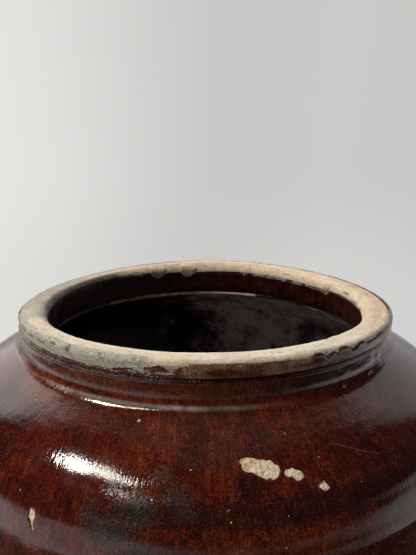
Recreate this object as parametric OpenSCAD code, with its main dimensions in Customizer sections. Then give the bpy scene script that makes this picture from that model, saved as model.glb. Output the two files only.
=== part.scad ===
// Glazed earthenware storage jar, open at the top, built from stacked clay walls.
// Lengths are in millimetres. The origin is the middle of the foot, and +Z is up.
// The clay members are luted to each other with slanting laps, and three glaze coats cover them.

/* [Body] */
// Height from the floor to the top of the rim
jar_h = 300; // [280:1:330]
// Belly diameter at its widest, over the glaze
belly_d = 284; // [268:1:310]
// Height of the widest part of the belly above the floor
belly_z = 210; // [190:1:220]
// Diameter of the bare clay foot
foot_d = 182; // [150:1:204]
// How far the wall leans out from the vertical where it leaves the foot, in degrees
foot_lean = 22; // [10:1:30]
// Length over which the wall keeps the lean that it has at the foot
foot_reach = 70; // [40:1:90]
// Length over which the belly stays nearly upright below its widest part
belly_low_reach = 75; // [50:1:95]
// Length over which the belly stays nearly upright above its widest part
belly_high_reach = 57; // [35:1:60]
// Length over which the shoulder keeps the slope that it has at the neck
shoulder_reach = 30; // [18:1:34]
// Slope of the shoulder where it meets the neck, in degrees below the horizontal
shoulder_slope = 34; // [25:1:42]
// Thickness of the clay walls
wall_t = 10.5; // [7:0.5:13]
// Thickness of the clay slab under the jar
base_t = 12; // [9:0.5:16]
// Radius of the rounded edge around the foot
foot_round = 2.5; // [1:0.5:4]

/* [Rim and neck] */
// Diameter over the glazed side of the rim
rim_d = 204; // [198:1:212]
// Diameter of the glazed wall inside the mouth
mouth_d = 175; // [168:1:182]
// Height of the rim from its top to its lower edge
rim_h = 6.8; // [6:0.2:8]
// How far the rim stands proud of the neck
rim_proud = 1; // [0.6:0.1:2]
// Radius of the rim's outer top edge
rim_round_out = 2.2; // [1.5:0.1:2.6]
// Radius of the rim's inner top edge
rim_round_in = 6; // [2:0.5:8]
// Bevel along the rim's lower edge
rim_bevel = 0.5; // [0.2:0.1:0.9]
// Height from the top of the rim down to where the neck starts to curve outward
neck_h = 15; // [13:0.5:19]
// Radius of the hollow curve between the neck and the shoulder
neck_fillet = 4.5; // [2.5:0.5:7]
// Radius of the rounded corner inside the throat
throat_r = 12; // [8:0.5:16]

/* [Tool marks] */
// Width of each groove under the rim
groove_w = 0.8; // [0.5:0.1:1]
// Depth of each groove under the rim
groove_depth = 0.6; // [0.3:0.1:0.9]
// Distance from one groove under the rim to the next
groove_pitch = 1.2; // [1.1:0.1:1.8]
// Number of grooves under the rim
groove_count = 2; // [1:1:3]
// Drop from the top of the rim to the first throwing ring on the shoulder
ring_drop = 38; // [30:1:44]
// Drop from one throwing ring to the next
ring_step = 13; // [9:1:18]
// Number of throwing rings
ring_count = 2; // [1:1:3]
// Height of a throwing ring above the surface around it
ring_relief = 0.4; // [0.2:0.1:1]
// Width of a throwing ring
ring_w = 8.5; // [4:0.5:9]

/* [Clay joints] */
// Height of the joint between the lower wall and the belly wall
low_joint_z = 105; // [80:1:125]
// Height of the joint between the belly wall and the shoulder wall
high_joint_z = 205; // [165:1:225]
// Height over which one wall laps the next
wall_lap = 14; // [8:1:20]
// Height on the outside of the joint between the slab and the lower wall
slab_lip = 7; // [5:0.5:8.5]
// Width of the clay coil pressed into the corner on the floor of the jar
base_lute_w = 13; // [8:0.5:18]
// Height of the same coil against the wall
base_lute_h = 12; // [8:0.5:18]
// Width of the clay coil pressed into the joint inside the throat
neck_lute_w = 3.6; // [3:0.1:4.4]
// How far that coil bulges from the clay under it
neck_lute_bulge = 1.6; // [1.1:0.1:1.8]
// Where that coil lies round the throat's corner, from 0 at the neck to 1 at the shoulder
neck_lute_place = 0.64; // [0.4:0.01:0.7]

/* [Glaze] */
// Thickness of the glaze outside
glaze_t = 0.8; // [0.5:0.1:1.2]
// Thickness of the glaze inside
liner_t = 0.6; // [0.4:0.1:0.9]
// Height of the lower edge of the outer glaze above the floor
glaze_line_z = 14; // [10:1:30]
// Width of the band wiped free of glaze below the rim's outer top edge
wipe_out = 0.2; // [0.1:0.1:1]
// Width of the band wiped free of glaze below the rim's inner top edge
wipe_in = 0.5; // [0.5:0.5:3]
// Number of finger wipes that dip into the glaze around the rim
wipe_count = 26; // [12:1:36]
// Radius of the smallest finger wipe
wipe_small_r = 0.8; // [0.5:0.1:1]
// Radius of the largest finger wipe
wipe_large_r = 1.8; // [1.2:0.1:2.4]
// Angle over which the side of the rim is wiped bare
bare_span = 46; // [20:1:70]
// Direction in which that bare stretch starts, in degrees from +X
bare_from = 200; // [180:1:225]

/* [Hidden] */
$fn = 96;

// Chips through the outer glaze: direction from +X, drop below the top of the rim, length, width,
// and the turn from the level to the chip's length, in degrees
chips = [
    [-81.2, 29.9, 14.5, 6.4, 27],
    [-76, 31.7, 7, 3.8, 28],
    [-72.1, 34.7, 4.4, 3.8, 40],
    [-114.1, 45.4, 7, 3.2, 84]
];

// Steps along each curve
body_steps = 44;
arc_steps = 8;
chip_steps = 26;
// How far a cut runs past the glaze that it opens
cut_over = 1.5;

// Radii and depths of the surfaces that the driving sizes give
rim_r = rim_d / 2;
neck_r = rim_r - rim_proud;
bore_r = mouth_d / 2;
clay_bore_r = bore_r + liner_t;
clay_rim_r = rim_r - glaze_t;
foot_r = foot_d / 2;
belly_r = belly_d / 2;
inner_depth = glaze_t + wall_t;

// Heights around the rim and the neck
rim_under_z = jar_h - rim_h;
neck_end_z = jar_h - neck_h;
glaze_top_z = jar_h - rim_round_out - wipe_out;
liner_top_z = jar_h - rim_round_in - wipe_in;
top_groove_z = rim_under_z - groove_w / 2;

function unit(v) = v / norm(v);
function reverse(list) = [for (i = [len(list) - 1 : -1 : 0]) list[i]];
function tail(list) = [for (i = [1 : len(list) - 1]) list[i]];
function polar(a) = [cos(a), sin(a)];
function arc(centre, r, from, to, steps = arc_steps) =
    [for (i = [0 : steps]) centre + r * polar(from + (to - from) * i / steps)];
// A point on a cubic curve, and the direction of the curve there
function cubic(p, t) = pow(1 - t, 3) * p[0] + 3 * pow(1 - t, 2) * t * p[1]
    + 3 * (1 - t) * t * t * p[2] + pow(t, 3) * p[3];
function cubic_dir(p, t) = pow(1 - t, 2) * (p[1] - p[0]) + 2 * (1 - t) * t * (p[2] - p[1])
    + t * t * (p[3] - p[2]);
// The normal that points away from the axis, beside a curve that climbs
function outward(dir) = [unit(dir)[1], -unit(dir)[0]];

// The hollow curve at the foot of the neck, and the point where the shoulder takes over
fillet_centre = [neck_r + neck_fillet, neck_end_z];
fillet_end_a = 270 - shoulder_slope;
shoulder_top = fillet_centre + neck_fillet * polar(fillet_end_a);

// The glazed outline of the body in two curves that meet upright at the belly
foot_edge = [foot_r, foot_round] + glaze_t * [cos(foot_lean), -sin(foot_lean)];
low_curve = [
    foot_edge,
    foot_edge + foot_reach * [sin(foot_lean), cos(foot_lean)],
    [belly_r, belly_z - belly_low_reach],
    [belly_r, belly_z]
];
high_curve = [
    [belly_r, belly_z],
    [belly_r, belly_z + belly_high_reach],
    shoulder_top + shoulder_reach * [cos(shoulder_slope), -sin(shoulder_slope)],
    shoulder_top
];

// The body at a depth under the glaze's face, where u runs from 0 at the foot to 2 at the neck
function body_curve(u) = u < 1 ? low_curve : high_curve;
function body_t(u) = u < 1 ? u : u - 1;
function body_normal(u) = outward(cubic_dir(body_curve(u), body_t(u)));
function body(u, depth) = cubic(body_curve(u), body_t(u)) - depth * body_normal(u);
// Where the body reaches a height, found by halving the stretch that holds it
function u_at(z, depth, lo = 0, hi = 2, turns = 30) = let (mid = (lo + hi) / 2)
    turns == 0 ? mid
    : body(mid, depth)[1] < z ? u_at(z, depth, mid, hi, turns - 1)
    : u_at(z, depth, lo, mid, turns - 1);

// The swelling of the throwing rings, as a share of their relief, and the outside that has it
function ring_swell(z) = max([for (i = [0 : ring_count - 1])
    let (off = z - (jar_h - ring_drop - i * ring_step))
        abs(off) < ring_w / 2 ? pow(cos(180 * off / ring_w), 2) : 0]);
function outside(u, depth) = body(u, depth - ring_relief * ring_swell(body(u, 0)[1]));

function outside_path(from, to, depth, steps = body_steps) =
    [for (i = [0 : steps]) outside(from + (to - from) * i / steps, depth)];
function inside_path(from, to, depth, steps = body_steps) =
    [for (i = [0 : steps]) body(from + (to - from) * i / steps, depth)];

// Ends of the slanting laps between the members, outside and inside
slab_out = u_at(slab_lip, glaze_t);
floor_in = u_at(base_t, inner_depth);
low_out = u_at(low_joint_z + wall_lap / 2, glaze_t);
low_in = u_at(low_joint_z - wall_lap / 2, inner_depth);
high_out = u_at(high_joint_z + wall_lap / 2, glaze_t);
high_in = u_at(high_joint_z - wall_lap / 2, inner_depth);
glaze_low = u_at(glaze_line_z, glaze_t);

// The hollow face of the coil in the corner of the floor
floor_corner = body(floor_in, inner_depth);
base_lute_in = u_at(base_t + base_lute_h, inner_depth);
base_lute_foot = [floor_corner[0] - base_lute_w, base_t];
base_lute_head = body(base_lute_in, inner_depth);
function base_lute_face(lift) = [for (i = [0 : arc_steps])
    let (
        t = i / arc_steps,
        p = (1 - t) * (1 - t) * base_lute_foot + 2 * (1 - t) * t * floor_corner + t * t * base_lute_head,
        dir = (1 - t) * (floor_corner - base_lute_foot) + t * (base_lute_head - floor_corner)
    ) p - lift * outward(dir)];

// The rounded corner inside the throat, whose radius the wall may limit
under_top = body(2, inner_depth);
throat_round = min(throat_r, (under_top[0] - clay_bore_r) / (1 - sin(shoulder_slope)));
throat_end_r = clay_bore_r + throat_round * (1 - sin(shoulder_slope));
throat_end_z = under_top[1] + (under_top[0] - throat_end_r) * tan(shoulder_slope);
throat_centre = [clay_bore_r + throat_round, throat_end_z + throat_round * cos(shoulder_slope)];
throat_end_a = 270 - shoulder_slope;

// The flat that the coil in the throat sits on, across the joint of the neck and the shoulder
neck_lute_a = 180 + neck_lute_place * (throat_end_a - 180);
neck_lute_half_a = asin(neck_lute_w / 2 / throat_round);
neck_lute_high = throat_centre + throat_round * polar(neck_lute_a - neck_lute_half_a);
neck_lute_low = throat_centre + throat_round * polar(neck_lute_a + neck_lute_half_a);
neck_joint_in = (neck_lute_high + neck_lute_low) / 2;
// The round face of that coil, through the two ends of the flat
neck_lute_r = (pow(neck_lute_w / 2, 2) + pow(neck_lute_bulge, 2)) / (2 * neck_lute_bulge);
neck_lute_centre = neck_joint_in + (neck_lute_bulge - neck_lute_r) * polar(neck_lute_a);
neck_lute_sweep = acos((neck_lute_r - neck_lute_bulge) / neck_lute_r);

// The joint of the rim and the neck, from the deepest part of the top groove to the mouth
rim_joint_out = [neck_r - glaze_t - groove_depth, top_groove_z];
rim_joint_in = [clay_bore_r, (throat_centre[1] + liner_top_z) / 2];

// The outline at a depth under the glaze's face, from the shoulder up to the deepest part of the top
// groove, and from there up the side of the rim
function neck_outline(depth) = concat(
    reverse(arc(fillet_centre, neck_fillet + depth, 180, fillet_end_a)),
    [for (i = [groove_count - 1 : -1 : 0]) let (z = top_groove_z - i * groove_pitch) each concat(
        [[neck_r - depth, z - groove_w / 2], [neck_r - depth - groove_depth, z]],
        i > 0 ? [[neck_r - depth, z + groove_w / 2]] : []
    )]
);
function rim_outline(depth) = [
    [neck_r - depth, rim_under_z],
    [neck_r - depth, rim_under_z + depth],
    [rim_r - depth - rim_bevel, rim_under_z + depth],
    [rim_r - depth, rim_under_z + depth + rim_bevel]
];

module revolve(points) {
    rotate_extrude()
        polygon(points);
}

// One wall of the body between two slanting laps
module wall(out_from, out_to, in_from, in_to) {
    revolve(concat(
        outside_path(out_from, out_to, glaze_t),
        reverse(inside_path(in_from, in_to, inner_depth))
    ));
}

module base_slab() {
    color("#a98a68")
        revolve(concat(
            [[0, 0]],
            arc([foot_r - foot_round, foot_round], foot_round, -90, -90 + 90 * (arc_steps - 1) / arc_steps),
            outside_path(0, slab_out, glaze_t, 3),
            [floor_corner, [0, base_t]]
        ));
}

module base_lute() {
    color("#a5835f")
        revolve(concat(base_lute_face(0), reverse(inside_path(floor_in, base_lute_in, inner_depth, 3))));
}

module lower_wall() {
    color("#b0906c")
        wall(slab_out, low_out, floor_in, low_in);
}

module belly_wall() {
    color("#b89873")
        wall(low_out, high_out, low_in, high_in);
}

module shoulder_wall() {
    color("#c2a27c")
        revolve(concat(
            outside_path(high_out, 2, glaze_t),
            [neck_joint_in],
            arc(throat_centre, throat_round, neck_lute_a + neck_lute_half_a, throat_end_a),
            reverse(inside_path(high_in, 2, inner_depth))
        ));
}

module neck_collar() {
    color("#bd9c78")
        revolve(concat(
            neck_outline(glaze_t),
            [rim_joint_in],
            arc(throat_centre, throat_round, 180, neck_lute_a - neck_lute_half_a),
            [neck_joint_in]
        ));
}

module neck_lute() {
    color("#c9a993")
        revolve(arc(neck_lute_centre, neck_lute_r, neck_lute_a - neck_lute_sweep, neck_lute_a + neck_lute_sweep));
}

module rim_ring() {
    color("#cdb48f")
        revolve(concat(
            [rim_joint_out],
            rim_outline(glaze_t),
            arc([clay_rim_r - rim_round_out, jar_h - rim_round_out], rim_round_out, 0, 90),
            arc([clay_bore_r + rim_round_in, jar_h - rim_round_in], rim_round_in, 90, 180),
            [rim_joint_in]
        ));
}

// The coat on the floor, the walls and the underside of the shoulder, up to the coil in the throat
function liner_path(lift) = concat(
    [[0, base_t + lift]],
    base_lute_face(lift),
    tail(inside_path(base_lute_in, 2, inner_depth + lift)),
    arc(throat_centre, throat_round + lift, throat_end_a, neck_lute_a + neck_lute_half_a)
);

module interior_glaze() {
    color("#1d1512")
        revolve(concat(liner_path(0), reverse(liner_path(liner_t))));
}

// The coat inside the mouth, from the coil in the throat up to the wiped edge of the rim
function mouth_path(lift) = concat(
    arc(throat_centre, throat_round + lift, neck_lute_a - neck_lute_half_a, 180),
    [[clay_bore_r - lift, liner_top_z]]
);

module neck_glaze() {
    color("#3a100c")
        revolve(concat(mouth_path(0), reverse(mouth_path(liner_t))));
}

// The outline of the outer coat at a depth under its face
function coat_path(depth) = concat(
    outside_path(glaze_low, 2, depth, 2 * body_steps),
    tail(neck_outline(depth)),
    rim_outline(depth),
    [[rim_r - depth, glaze_top_z]]
);

// A ragged outline about a level length
function chip_outline(length, width) = [for (i = [0 : chip_steps - 1])
    let (a = 360 * i / chip_steps, ragged = 1 + 0.07 * sin(3 * a + 20 * length) + 0.05 * sin(7 * a))
        [width / 2 * ragged * cos(a), length / 2 * ragged * sin(a)]];

// The hole that one chip leaves, square to the surface where it lies
module chip_hole(direction, drop, length, width, turn) {
    u = u_at(jar_h - drop, 0);
    place = body(u, 0);
    normal = body_normal(u);
    rotate([0, 0, direction])
        translate([place[0], 0, place[1]])
            rotate([0, atan2(normal[0], normal[1]), 0])
                rotate([0, 0, -turn])
                    translate([0, 0, -glaze_t - cut_over])
                        linear_extrude(glaze_t + 2 * cut_over)
                            polygon(chip_outline(length, width));
}

// Finger wipes around the top edge of the coat, and the stretch of the rim's side that is wiped bare
module rim_wipes() {
    for (i = [0 : wipe_count - 1]) {
        r = wipe_small_r + (wipe_large_r - wipe_small_r) * (0.5 + 0.5 * sin(137 * i));
        rotate([0, 0, 360 * i / wipe_count + 4 * sin(97 * i)])
            translate([clay_rim_r, 0, glaze_top_z])
                rotate([0, 90, 0])
                    cylinder(r = r, h = 2 * cut_over, center = true);
    }
    rotate([0, 0, bare_from])
        rotate_extrude(angle = bare_span)
            translate([clay_rim_r - cut_over, rim_under_z + glaze_t + rim_bevel])
                square([2 * cut_over + glaze_t, rim_h]);
}

module outer_glaze() {
    color("#5a1f14")
        difference() {
            revolve(concat(coat_path(0), reverse(coat_path(glaze_t))));
            for (chip = chips)
                chip_hole(chip[0], chip[1], chip[2], chip[3], chip[4]);
            rim_wipes();
        }
}

base_slab();
base_lute();
lower_wall();
belly_wall();
shoulder_wall();
neck_collar();
neck_lute();
rim_ring();
interior_glaze();
neck_glaze();
outer_glaze();
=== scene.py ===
import math

import bpy
import numpy as np
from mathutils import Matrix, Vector


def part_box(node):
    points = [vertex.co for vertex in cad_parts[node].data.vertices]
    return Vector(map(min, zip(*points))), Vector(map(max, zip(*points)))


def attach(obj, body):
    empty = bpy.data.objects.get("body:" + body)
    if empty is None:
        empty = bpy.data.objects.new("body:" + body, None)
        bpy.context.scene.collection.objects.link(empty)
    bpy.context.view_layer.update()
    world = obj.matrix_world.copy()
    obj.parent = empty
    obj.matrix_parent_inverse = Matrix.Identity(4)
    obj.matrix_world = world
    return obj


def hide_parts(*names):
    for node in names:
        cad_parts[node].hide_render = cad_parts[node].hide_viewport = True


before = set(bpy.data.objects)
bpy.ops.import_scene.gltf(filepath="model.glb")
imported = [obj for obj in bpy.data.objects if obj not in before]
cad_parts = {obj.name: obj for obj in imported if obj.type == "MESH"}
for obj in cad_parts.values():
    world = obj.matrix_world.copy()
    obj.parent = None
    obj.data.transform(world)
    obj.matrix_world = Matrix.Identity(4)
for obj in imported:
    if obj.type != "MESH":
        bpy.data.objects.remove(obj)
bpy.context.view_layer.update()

# Sizes of the jar in millimetres, as in the CAD source. Heights are above the floor.
JAR_H = 300.0
BELLY_R, BELLY_Z, BELLY_LOW_REACH, BELLY_HIGH_REACH = 142.0, 210.0, 75.0, 57.0
FOOT_R, FOOT_ROUND, FOOT_LEAN, FOOT_REACH = 91.0, 2.5, math.radians(22), 70.0
SHOULDER_REACH, SHOULDER_SLOPE = 30.0, math.radians(34)
NECK_R, NECK_END_Z, NECK_FILLET, RIM_UNDER_Z = 101.0, 285.0, 4.5, 293.2
CLAY_RIM_R, CLAY_BORE_R, ROUND_OUT, ROUND_IN = 101.2, 88.1, 2.2, 6.0
THROAT_R, THROAT_Z, THROAT_ROUND, THROAT_END_A = 100.1, 284.06, 12.0, math.radians(207.2)
LUTE_R, LUTE_Z, LUTE_ROUND, LUTE_A, LUTE_SWEEP = 90.65, 277.24, 1.81, math.radians(215.8), math.radians(83.3)
RINGS_Z, RING_RELIEF, RING_W = (262.0, 249.0), 0.4, 8.5
GROOVES_Z, GROOVE_DEPTH = (292.8, 291.6), 0.55
GLAZE_T, LINER_T, GLAZE_LINE_Z = 0.8, 0.6, 14.0

# The camera's place from the middle of the rim's top in metres, its pitch and its lens
RIM_TOP = Vector((0.0, 0.0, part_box("rim_ring")[1].z))
CAMERA_FROM_RIM = Vector((0.0016, -0.2397, 0.0588))
CAMERA_PITCH_DEG = 11.86
FOCAL_PX = 417.0
IMAGE_H_PX = 555.0
SENSOR_MM = 36.0

# Chips through the outer glaze: direction from +X in degrees, drop below the rim's top, and the
# outline in millimetres round the jar and up its side
CHIPS = (
    (-81.3, 29.86, (
        (-6.4, 3.3), (-5.8, 3.8), (-4.5, 3.9), (-3.2, 4.0), (-2.0, 3.7), (-0.2, 3.2), (0.4, 2.8), (1.8, 2.9),
        (3.1, 2.3), (4.4, 2.2), (5.0, 1.4), (5.5, 0.7), (6.4, 0.5), (6.9, -0.7), (6.9, -1.6), (6.2, -2.5),
        (5.4, -3.5), (3.9, -4.0), (2.6, -3.3), (1.7, -3.7), (0.8, -3.2), (-0.2, -2.6), (-1.5, -1.8),
        (-2.6, -1.0), (-3.5, -1.0), (-4.8, -0.6), (-5.6, 0.1), (-5.8, 1.0), (-5.7, 1.9), (-6.4, 2.3))),
    (-76.1, 31.74, (
        (-3.2, 1.0), (-2.5, 1.9), (-1.5, 2.1), (0.0, 2.2), (0.7, 1.6), (1.7, 1.4), (2.6, 0.8), (3.2, -0.2),
        (3.1, -1.0), (2.2, -1.7), (0.8, -2.1), (0.1, -1.8), (-0.4, -0.9), (-0.9, -0.4), (-2.1, -0.5),
        (-2.6, -0.1), (-3.1, 0.4))),
    (-72.1, 34.77, (
        (-2.0, 0.4), (-1.4, 1.0), (-0.6, 1.1), (0.3, 1.6), (0.9, 1.1), (1.0, 0.5), (1.7, -0.1), (1.8, -1.0),
        (0.8, -1.4), (-0.5, -1.5), (-1.2, -1.0), (-1.3, -0.5), (-1.9, -0.2))),
    (-114.1, 45.58, (
        (-1.6, 3.0), (-0.7, 3.0), (0.2, 2.5), (0.9, 1.6), (0.9, 0.6), (0.5, -0.1), (0.7, -1.0), (1.1, -1.9),
        (1.4, -2.6), (1.3, -3.5), (0.8, -2.8), (0.4, -1.7), (-0.2, -0.7), (-1.0, -0.3), (-1.8, 0.5),
        (-1.8, 1.7), (-1.8, 2.5))),
)

# Soft marks in the outer glaze: direction, drop, half width, half height and strength
DARK_MARKS = (
    (-83.2, 33.2, 8, 3.6, 0.62), (-91.4, 26.6, 7, 7, 0.50), (-104.8, 23.0, 8, 4, 0.50), (-68, 29, 13, 5, 0.40),
    (-55.2, 34.8, 3.2, 2.6, 0.9), (-58, 27, 16, 6, 0.45), (-97.3, 36.5, 6, 3, 0.55), 
    (-113, 31, 7, 4, 0.45), (-57, 41, 14, 3, 0.60),
)
WARM_MARKS = (
    (-97.6, 26, 12, 6, 0.7), (-86.5, 25, 10, 5, 0.9), (-75, 24.5, 14, 4, 0.6), (-86, 39.9, 17, 1.4, 0.7),
    (-119, 34.6, 10, 1.6, 0.6), (-80, 43, 15, 1.6, 0.4), (-87, 31, 6, 4, 0.7), (-107, 27, 12, 3, 0.35),
    (-112, 12.5, 26, 4, 0.9), (-93, 12, 22, 4, 0.75), (-92, 3.4, 40, 3.5, 0.6), (-130, 19.5, 30, 5.0, 1.0),
)
MATT_MARKS = (
    (-99.6, 38.2, 10, 4.8, 0.85), (-93.5, 34.6, 7, 2.8, 0.62), (-102.6, 43.0, 10, 5.0, 0.85), (-92, 37.6, 6, 2.0, 0.55),
    (-78.6, 24.1, 3.6, 1.8, 0.50), (-99, 48.5, 10, 4, 0.76), (-105.5, 39.6, 6, 3.4, 0.62), (-96.2, 31.2, 6, 2.2, 0.50),
    (-103, 33.5, 5, 2.0, 0.45),
)
# Height of the outer glaze's upper edge, by direction
COAT_EDGE = (
    (-180, 298.2), (-163, 298.0), (-160, 294.3), (-114, 294.3), (-110, 295.0), (-107, 296.2), (-104, 297.3),
    (-101, 297.9), (-99.5, 298.3), (-98.2, 297.6), (-97.2, 295.6), (-96.2, 295.5), (-95.6, 297.4), (-94, 297.5),
    (-93, 298.8), (-89, 299.0), (-82, 298.9), (-74, 298.6), (-69, 298.2), (-67.4, 297.2), (-66.4, 298.6),
    (-65.4, 299.3), (-64.0, 299.3), (-63.0, 298.4), (-62.3, 297.0), (-61.5, 297.2), (-60.9, 298.5), (-60.0, 298.6),
    (-59.4, 297.2), (-58.8, 298.6), (-58.0, 299.3), (-56.2, 299.4), (-55.2, 298.7), (-54.4, 297.2), (-52.8, 297.4),
    (-51.6, 299.0), (-49.6, 299.0), (-48.4, 297.6), (-40, 298.8), (-25, 299.4), (0, 299.7), (60, 299.8),
    (120, 299.7), (150, 299.2), (180, 298.2),
)
# Height of the upper edge of the glaze inside the mouth, by direction
MOUTH_EDGE = (
    (-180, 296.4), (-165, 295.6), (-150, 295.0), (-90, 295.2), (-30, 295.0), (-14, 294.2), (4, 294.4), (11.9, 294.6),
    (20, 294.2), (22, 292.4), (25, 293.6), (31.5, 293.2), (38.8, 293.6), (60, 294.0), (80, 293.6), (89, 293.2), (94, 293.0),
    (95.6, 292.4), (99.5, 289.6), (102.2, 292.4), (103.6, 293.4), (110.4, 293.4), (112.4, 291.8),
    (115.4, 290.2), (117.6, 291.9), (119.6, 295.0), (136, 297.2), (142, 297.0), (154, 297.6), (168, 297.4),
    (178, 296.6), (180, 296.4),
)
# Folds of clay that hang from the rim over the glaze of the mouth: direction, half width in degrees, lowest point
CLAY_FOLDS = ((99.5, 4.4, 289.8), (115.2, 4.2, 290.4), (22.4, 2.2, 291.6), (-5.0, 8.0, 293.6))


# Noise and shapes in arrays

LATTICE = np.random.default_rng(11).random((32, 32, 32)) * 2 - 1


def lumps(points, size, octaves=3, gain=0.5, seed=0):
    """Smooth random numbers from -1 to 1 at points, with lumps of about that size."""
    total, weight, whole = 0.0, 1.0, 0.0
    for octave in range(octaves):
        q = points * (2 ** octave / size) + 37.7 * octave + 11.3 * seed + 0.5
        cell = np.floor(q).astype(int)
        part = q - cell
        part = part * part * (3 - 2 * part)
        value = 0.0
        for dx in (0, 1):
            for dy in (0, 1):
                for dz in (0, 1):
                    share = ((part[..., 0] if dx else 1 - part[..., 0])
                             * (part[..., 1] if dy else 1 - part[..., 1])
                             * (part[..., 2] if dz else 1 - part[..., 2]))
                    value = value + share * LATTICE[
                        (cell[..., 0] + dx) % 32, (cell[..., 1] + dy) % 32, (cell[..., 2] + dz) % 32]
        total = total + weight * value
        whole += weight
        weight *= gain
    return total / whole


def smooth(x):
    x = np.clip(x, 0, 1)
    return x * x * (3 - 2 * x)


def turn(azimuth, centre):
    """Degrees from centre to azimuth, the short way round."""
    return (azimuth - centre + 180) % 360 - 180


def place(azimuth, r, z):
    a = np.radians(azimuth)
    return np.stack([r * np.cos(a), r * np.sin(a), z + 0 * a], -1)


def strokes(azimuth, across, width, length, radius):
    """Coordinates in which noise of scale 1 gives strokes of that width, and of that length round the jar."""
    a = np.radians(azimuth)
    reach = radius / length
    return np.stack([across / width + 0 * a, np.cos(a) * reach, np.sin(a) * reach], -1)


def spots(azimuth, drop, r, marks):
    """How much of a set of soft oval marks lies at each point, from 0 to 1."""
    total = np.zeros_like(drop)
    for centre, centre_drop, half_w, half_h, strength in marks:
        dx = np.radians(turn(azimuth, centre)) * r / half_w
        dy = (drop - centre_drop) / half_h
        total = np.maximum(total, strength * smooth(1.25 - np.hypot(dx, dy)))
    return total


def by_direction(azimuth, table):
    """A value that runs straight from each row of a table to the next, by direction."""
    table = np.array(table)
    return np.interp(turn(azimuth, 0), table[:, 0], table[:, 1])


def steps(*ranges):
    """Values from each (start, end, step), without the last end."""
    return np.concatenate([np.arange(a, b - 1e-6, s) for a, b, s in ranges])


# Meshes

def make_piece(name, points_mm, faces, material, values=None, vectors=None):
    """An object from points in millimetres, without points that no face uses, that rides on the jar."""
    used = np.zeros(len(points_mm), bool)
    for group in faces:
        used[np.asarray(group).ravel() if isinstance(group, np.ndarray) else [v for f in group for v in f]] = True
    number = np.cumsum(used) - 1
    groups = [number[g] for g in faces if isinstance(g, np.ndarray)]
    loose = [[int(number[v]) for v in f] for g in faces if not isinstance(g, np.ndarray) for f in g]
    counts = np.concatenate([np.full(len(g), g.shape[1]) for g in groups] + [np.array([len(f) for f in loose], int)])
    corners = np.concatenate([g.ravel() for g in groups] + [np.array([v for f in loose for v in f], int)])
    mesh = bpy.data.meshes.new(name)
    mesh.vertices.add(int(used.sum()))
    mesh.vertices.foreach_set("co", (points_mm[used] * 0.001).astype(np.float32).ravel())
    mesh.loops.add(len(corners))
    mesh.loops.foreach_set("vertex_index", corners.astype(np.int32))
    mesh.polygons.add(len(counts))
    mesh.polygons.foreach_set("loop_start", np.concatenate([[0], np.cumsum(counts)[:-1]]).astype(np.int32))
    mesh.polygons.foreach_set("use_smooth", np.ones(len(counts), bool))
    mesh.update(calc_edges=True)
    mesh.validate()
    for key, array in (values or {}).items():
        layer = mesh.attributes.new(key, "FLOAT", "POINT")
        layer.data.foreach_set("value", array[used].astype(np.float32))
    for key, array in (vectors or {}).items():
        layer = mesh.attributes.new(key, "FLOAT_VECTOR", "POINT")
        layer.data.foreach_set("vector", array[used].astype(np.float32).ravel())
    mesh.materials.append(material)
    piece = bpy.data.objects.new(name, mesh)
    bpy.context.scene.collection.objects.link(piece)
    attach(piece, "root")
    return piece


def shell(outer, inner, keep_row, keep_col, holes):
    """Points and faces of a closed coat. outer and inner hold a point for each row and column, the columns run all
    the way round, and the inner face has only the rows and columns that are kept. holes marks the cells that are open."""
    rows, cols = outer.shape[:2]
    kr, kc = np.flatnonzero(keep_row), np.flatnonzero(keep_col)
    out = np.arange(rows * cols).reshape(rows, cols)
    inn = np.full((rows, cols), -1)
    inn[np.ix_(kr, kc)] = rows * cols + np.arange(len(kr) * len(kc)).reshape(len(kr), len(kc))
    points = np.concatenate([outer.reshape(-1, 3), inner[np.ix_(kr, kc)].reshape(-1, 3)])
    i, j = np.nonzero(~holes)
    k = (j + 1) % cols
    front = np.stack([out[i, j], out[i, k], out[i + 1, k], out[i + 1, j]], -1)
    r0, c0 = np.meshgrid(kr[:-1], kc, indexing="ij")
    r1, c1 = np.meshgrid(kr[1:], np.roll(kc, -1), indexing="ij")
    solid = ~(holes[r0, c0] & (r1 == r0 + 1) & (c1 == (c0 + 1) % cols))
    r0, r1, c0, c1 = r0[solid], r1[solid], c0[solid], c1[solid]
    back = np.stack([inn[r0, c0], inn[r1, c0], inn[r1, c1], inn[r0, c1]], -1)
    walls = []
    for i, j in zip(*np.nonzero(holes)):
        k = (j + 1) % cols
        if not holes[i, j - 1]:
            walls.append((out[i + 1, j], out[i, j], inn[i, j], inn[i + 1, j]))
        if not holes[i, k]:
            walls.append((out[i, k], out[i + 1, k], inn[i + 1, k], inn[i, k]))
        if not holes[i - 1, j]:
            walls.append((out[i, j], out[i, k], inn[i, k], inn[i, j]))
        if not holes[i + 1, j]:
            walls.append((out[i + 1, k], out[i + 1, j], inn[i + 1, j], inn[i + 1, k]))
    edges = []
    for a, b in zip(kc, np.roll(kc, -1)):
        span = [c % cols for c in range(a, (b if b > a else b + cols) + 1)]
        edges.append([out[-1, c] for c in span] + [inn[-1, b], inn[-1, a]])
        edges.append([out[0, c] for c in reversed(span)] + [inn[0, a], inn[0, b]])
    faces = [front, back, edges]
    if walls:
        faces.append(np.array(walls))
    return points, faces, (kr, kc)


def both(array, kept):
    """The values of a coat's points, from an array with a value for each row and column."""
    kr, kc = kept
    shape = (-1,) + array.shape[2:]
    return np.concatenate([array.reshape(shape), array[np.ix_(kr, kc)].reshape(shape)])


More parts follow.
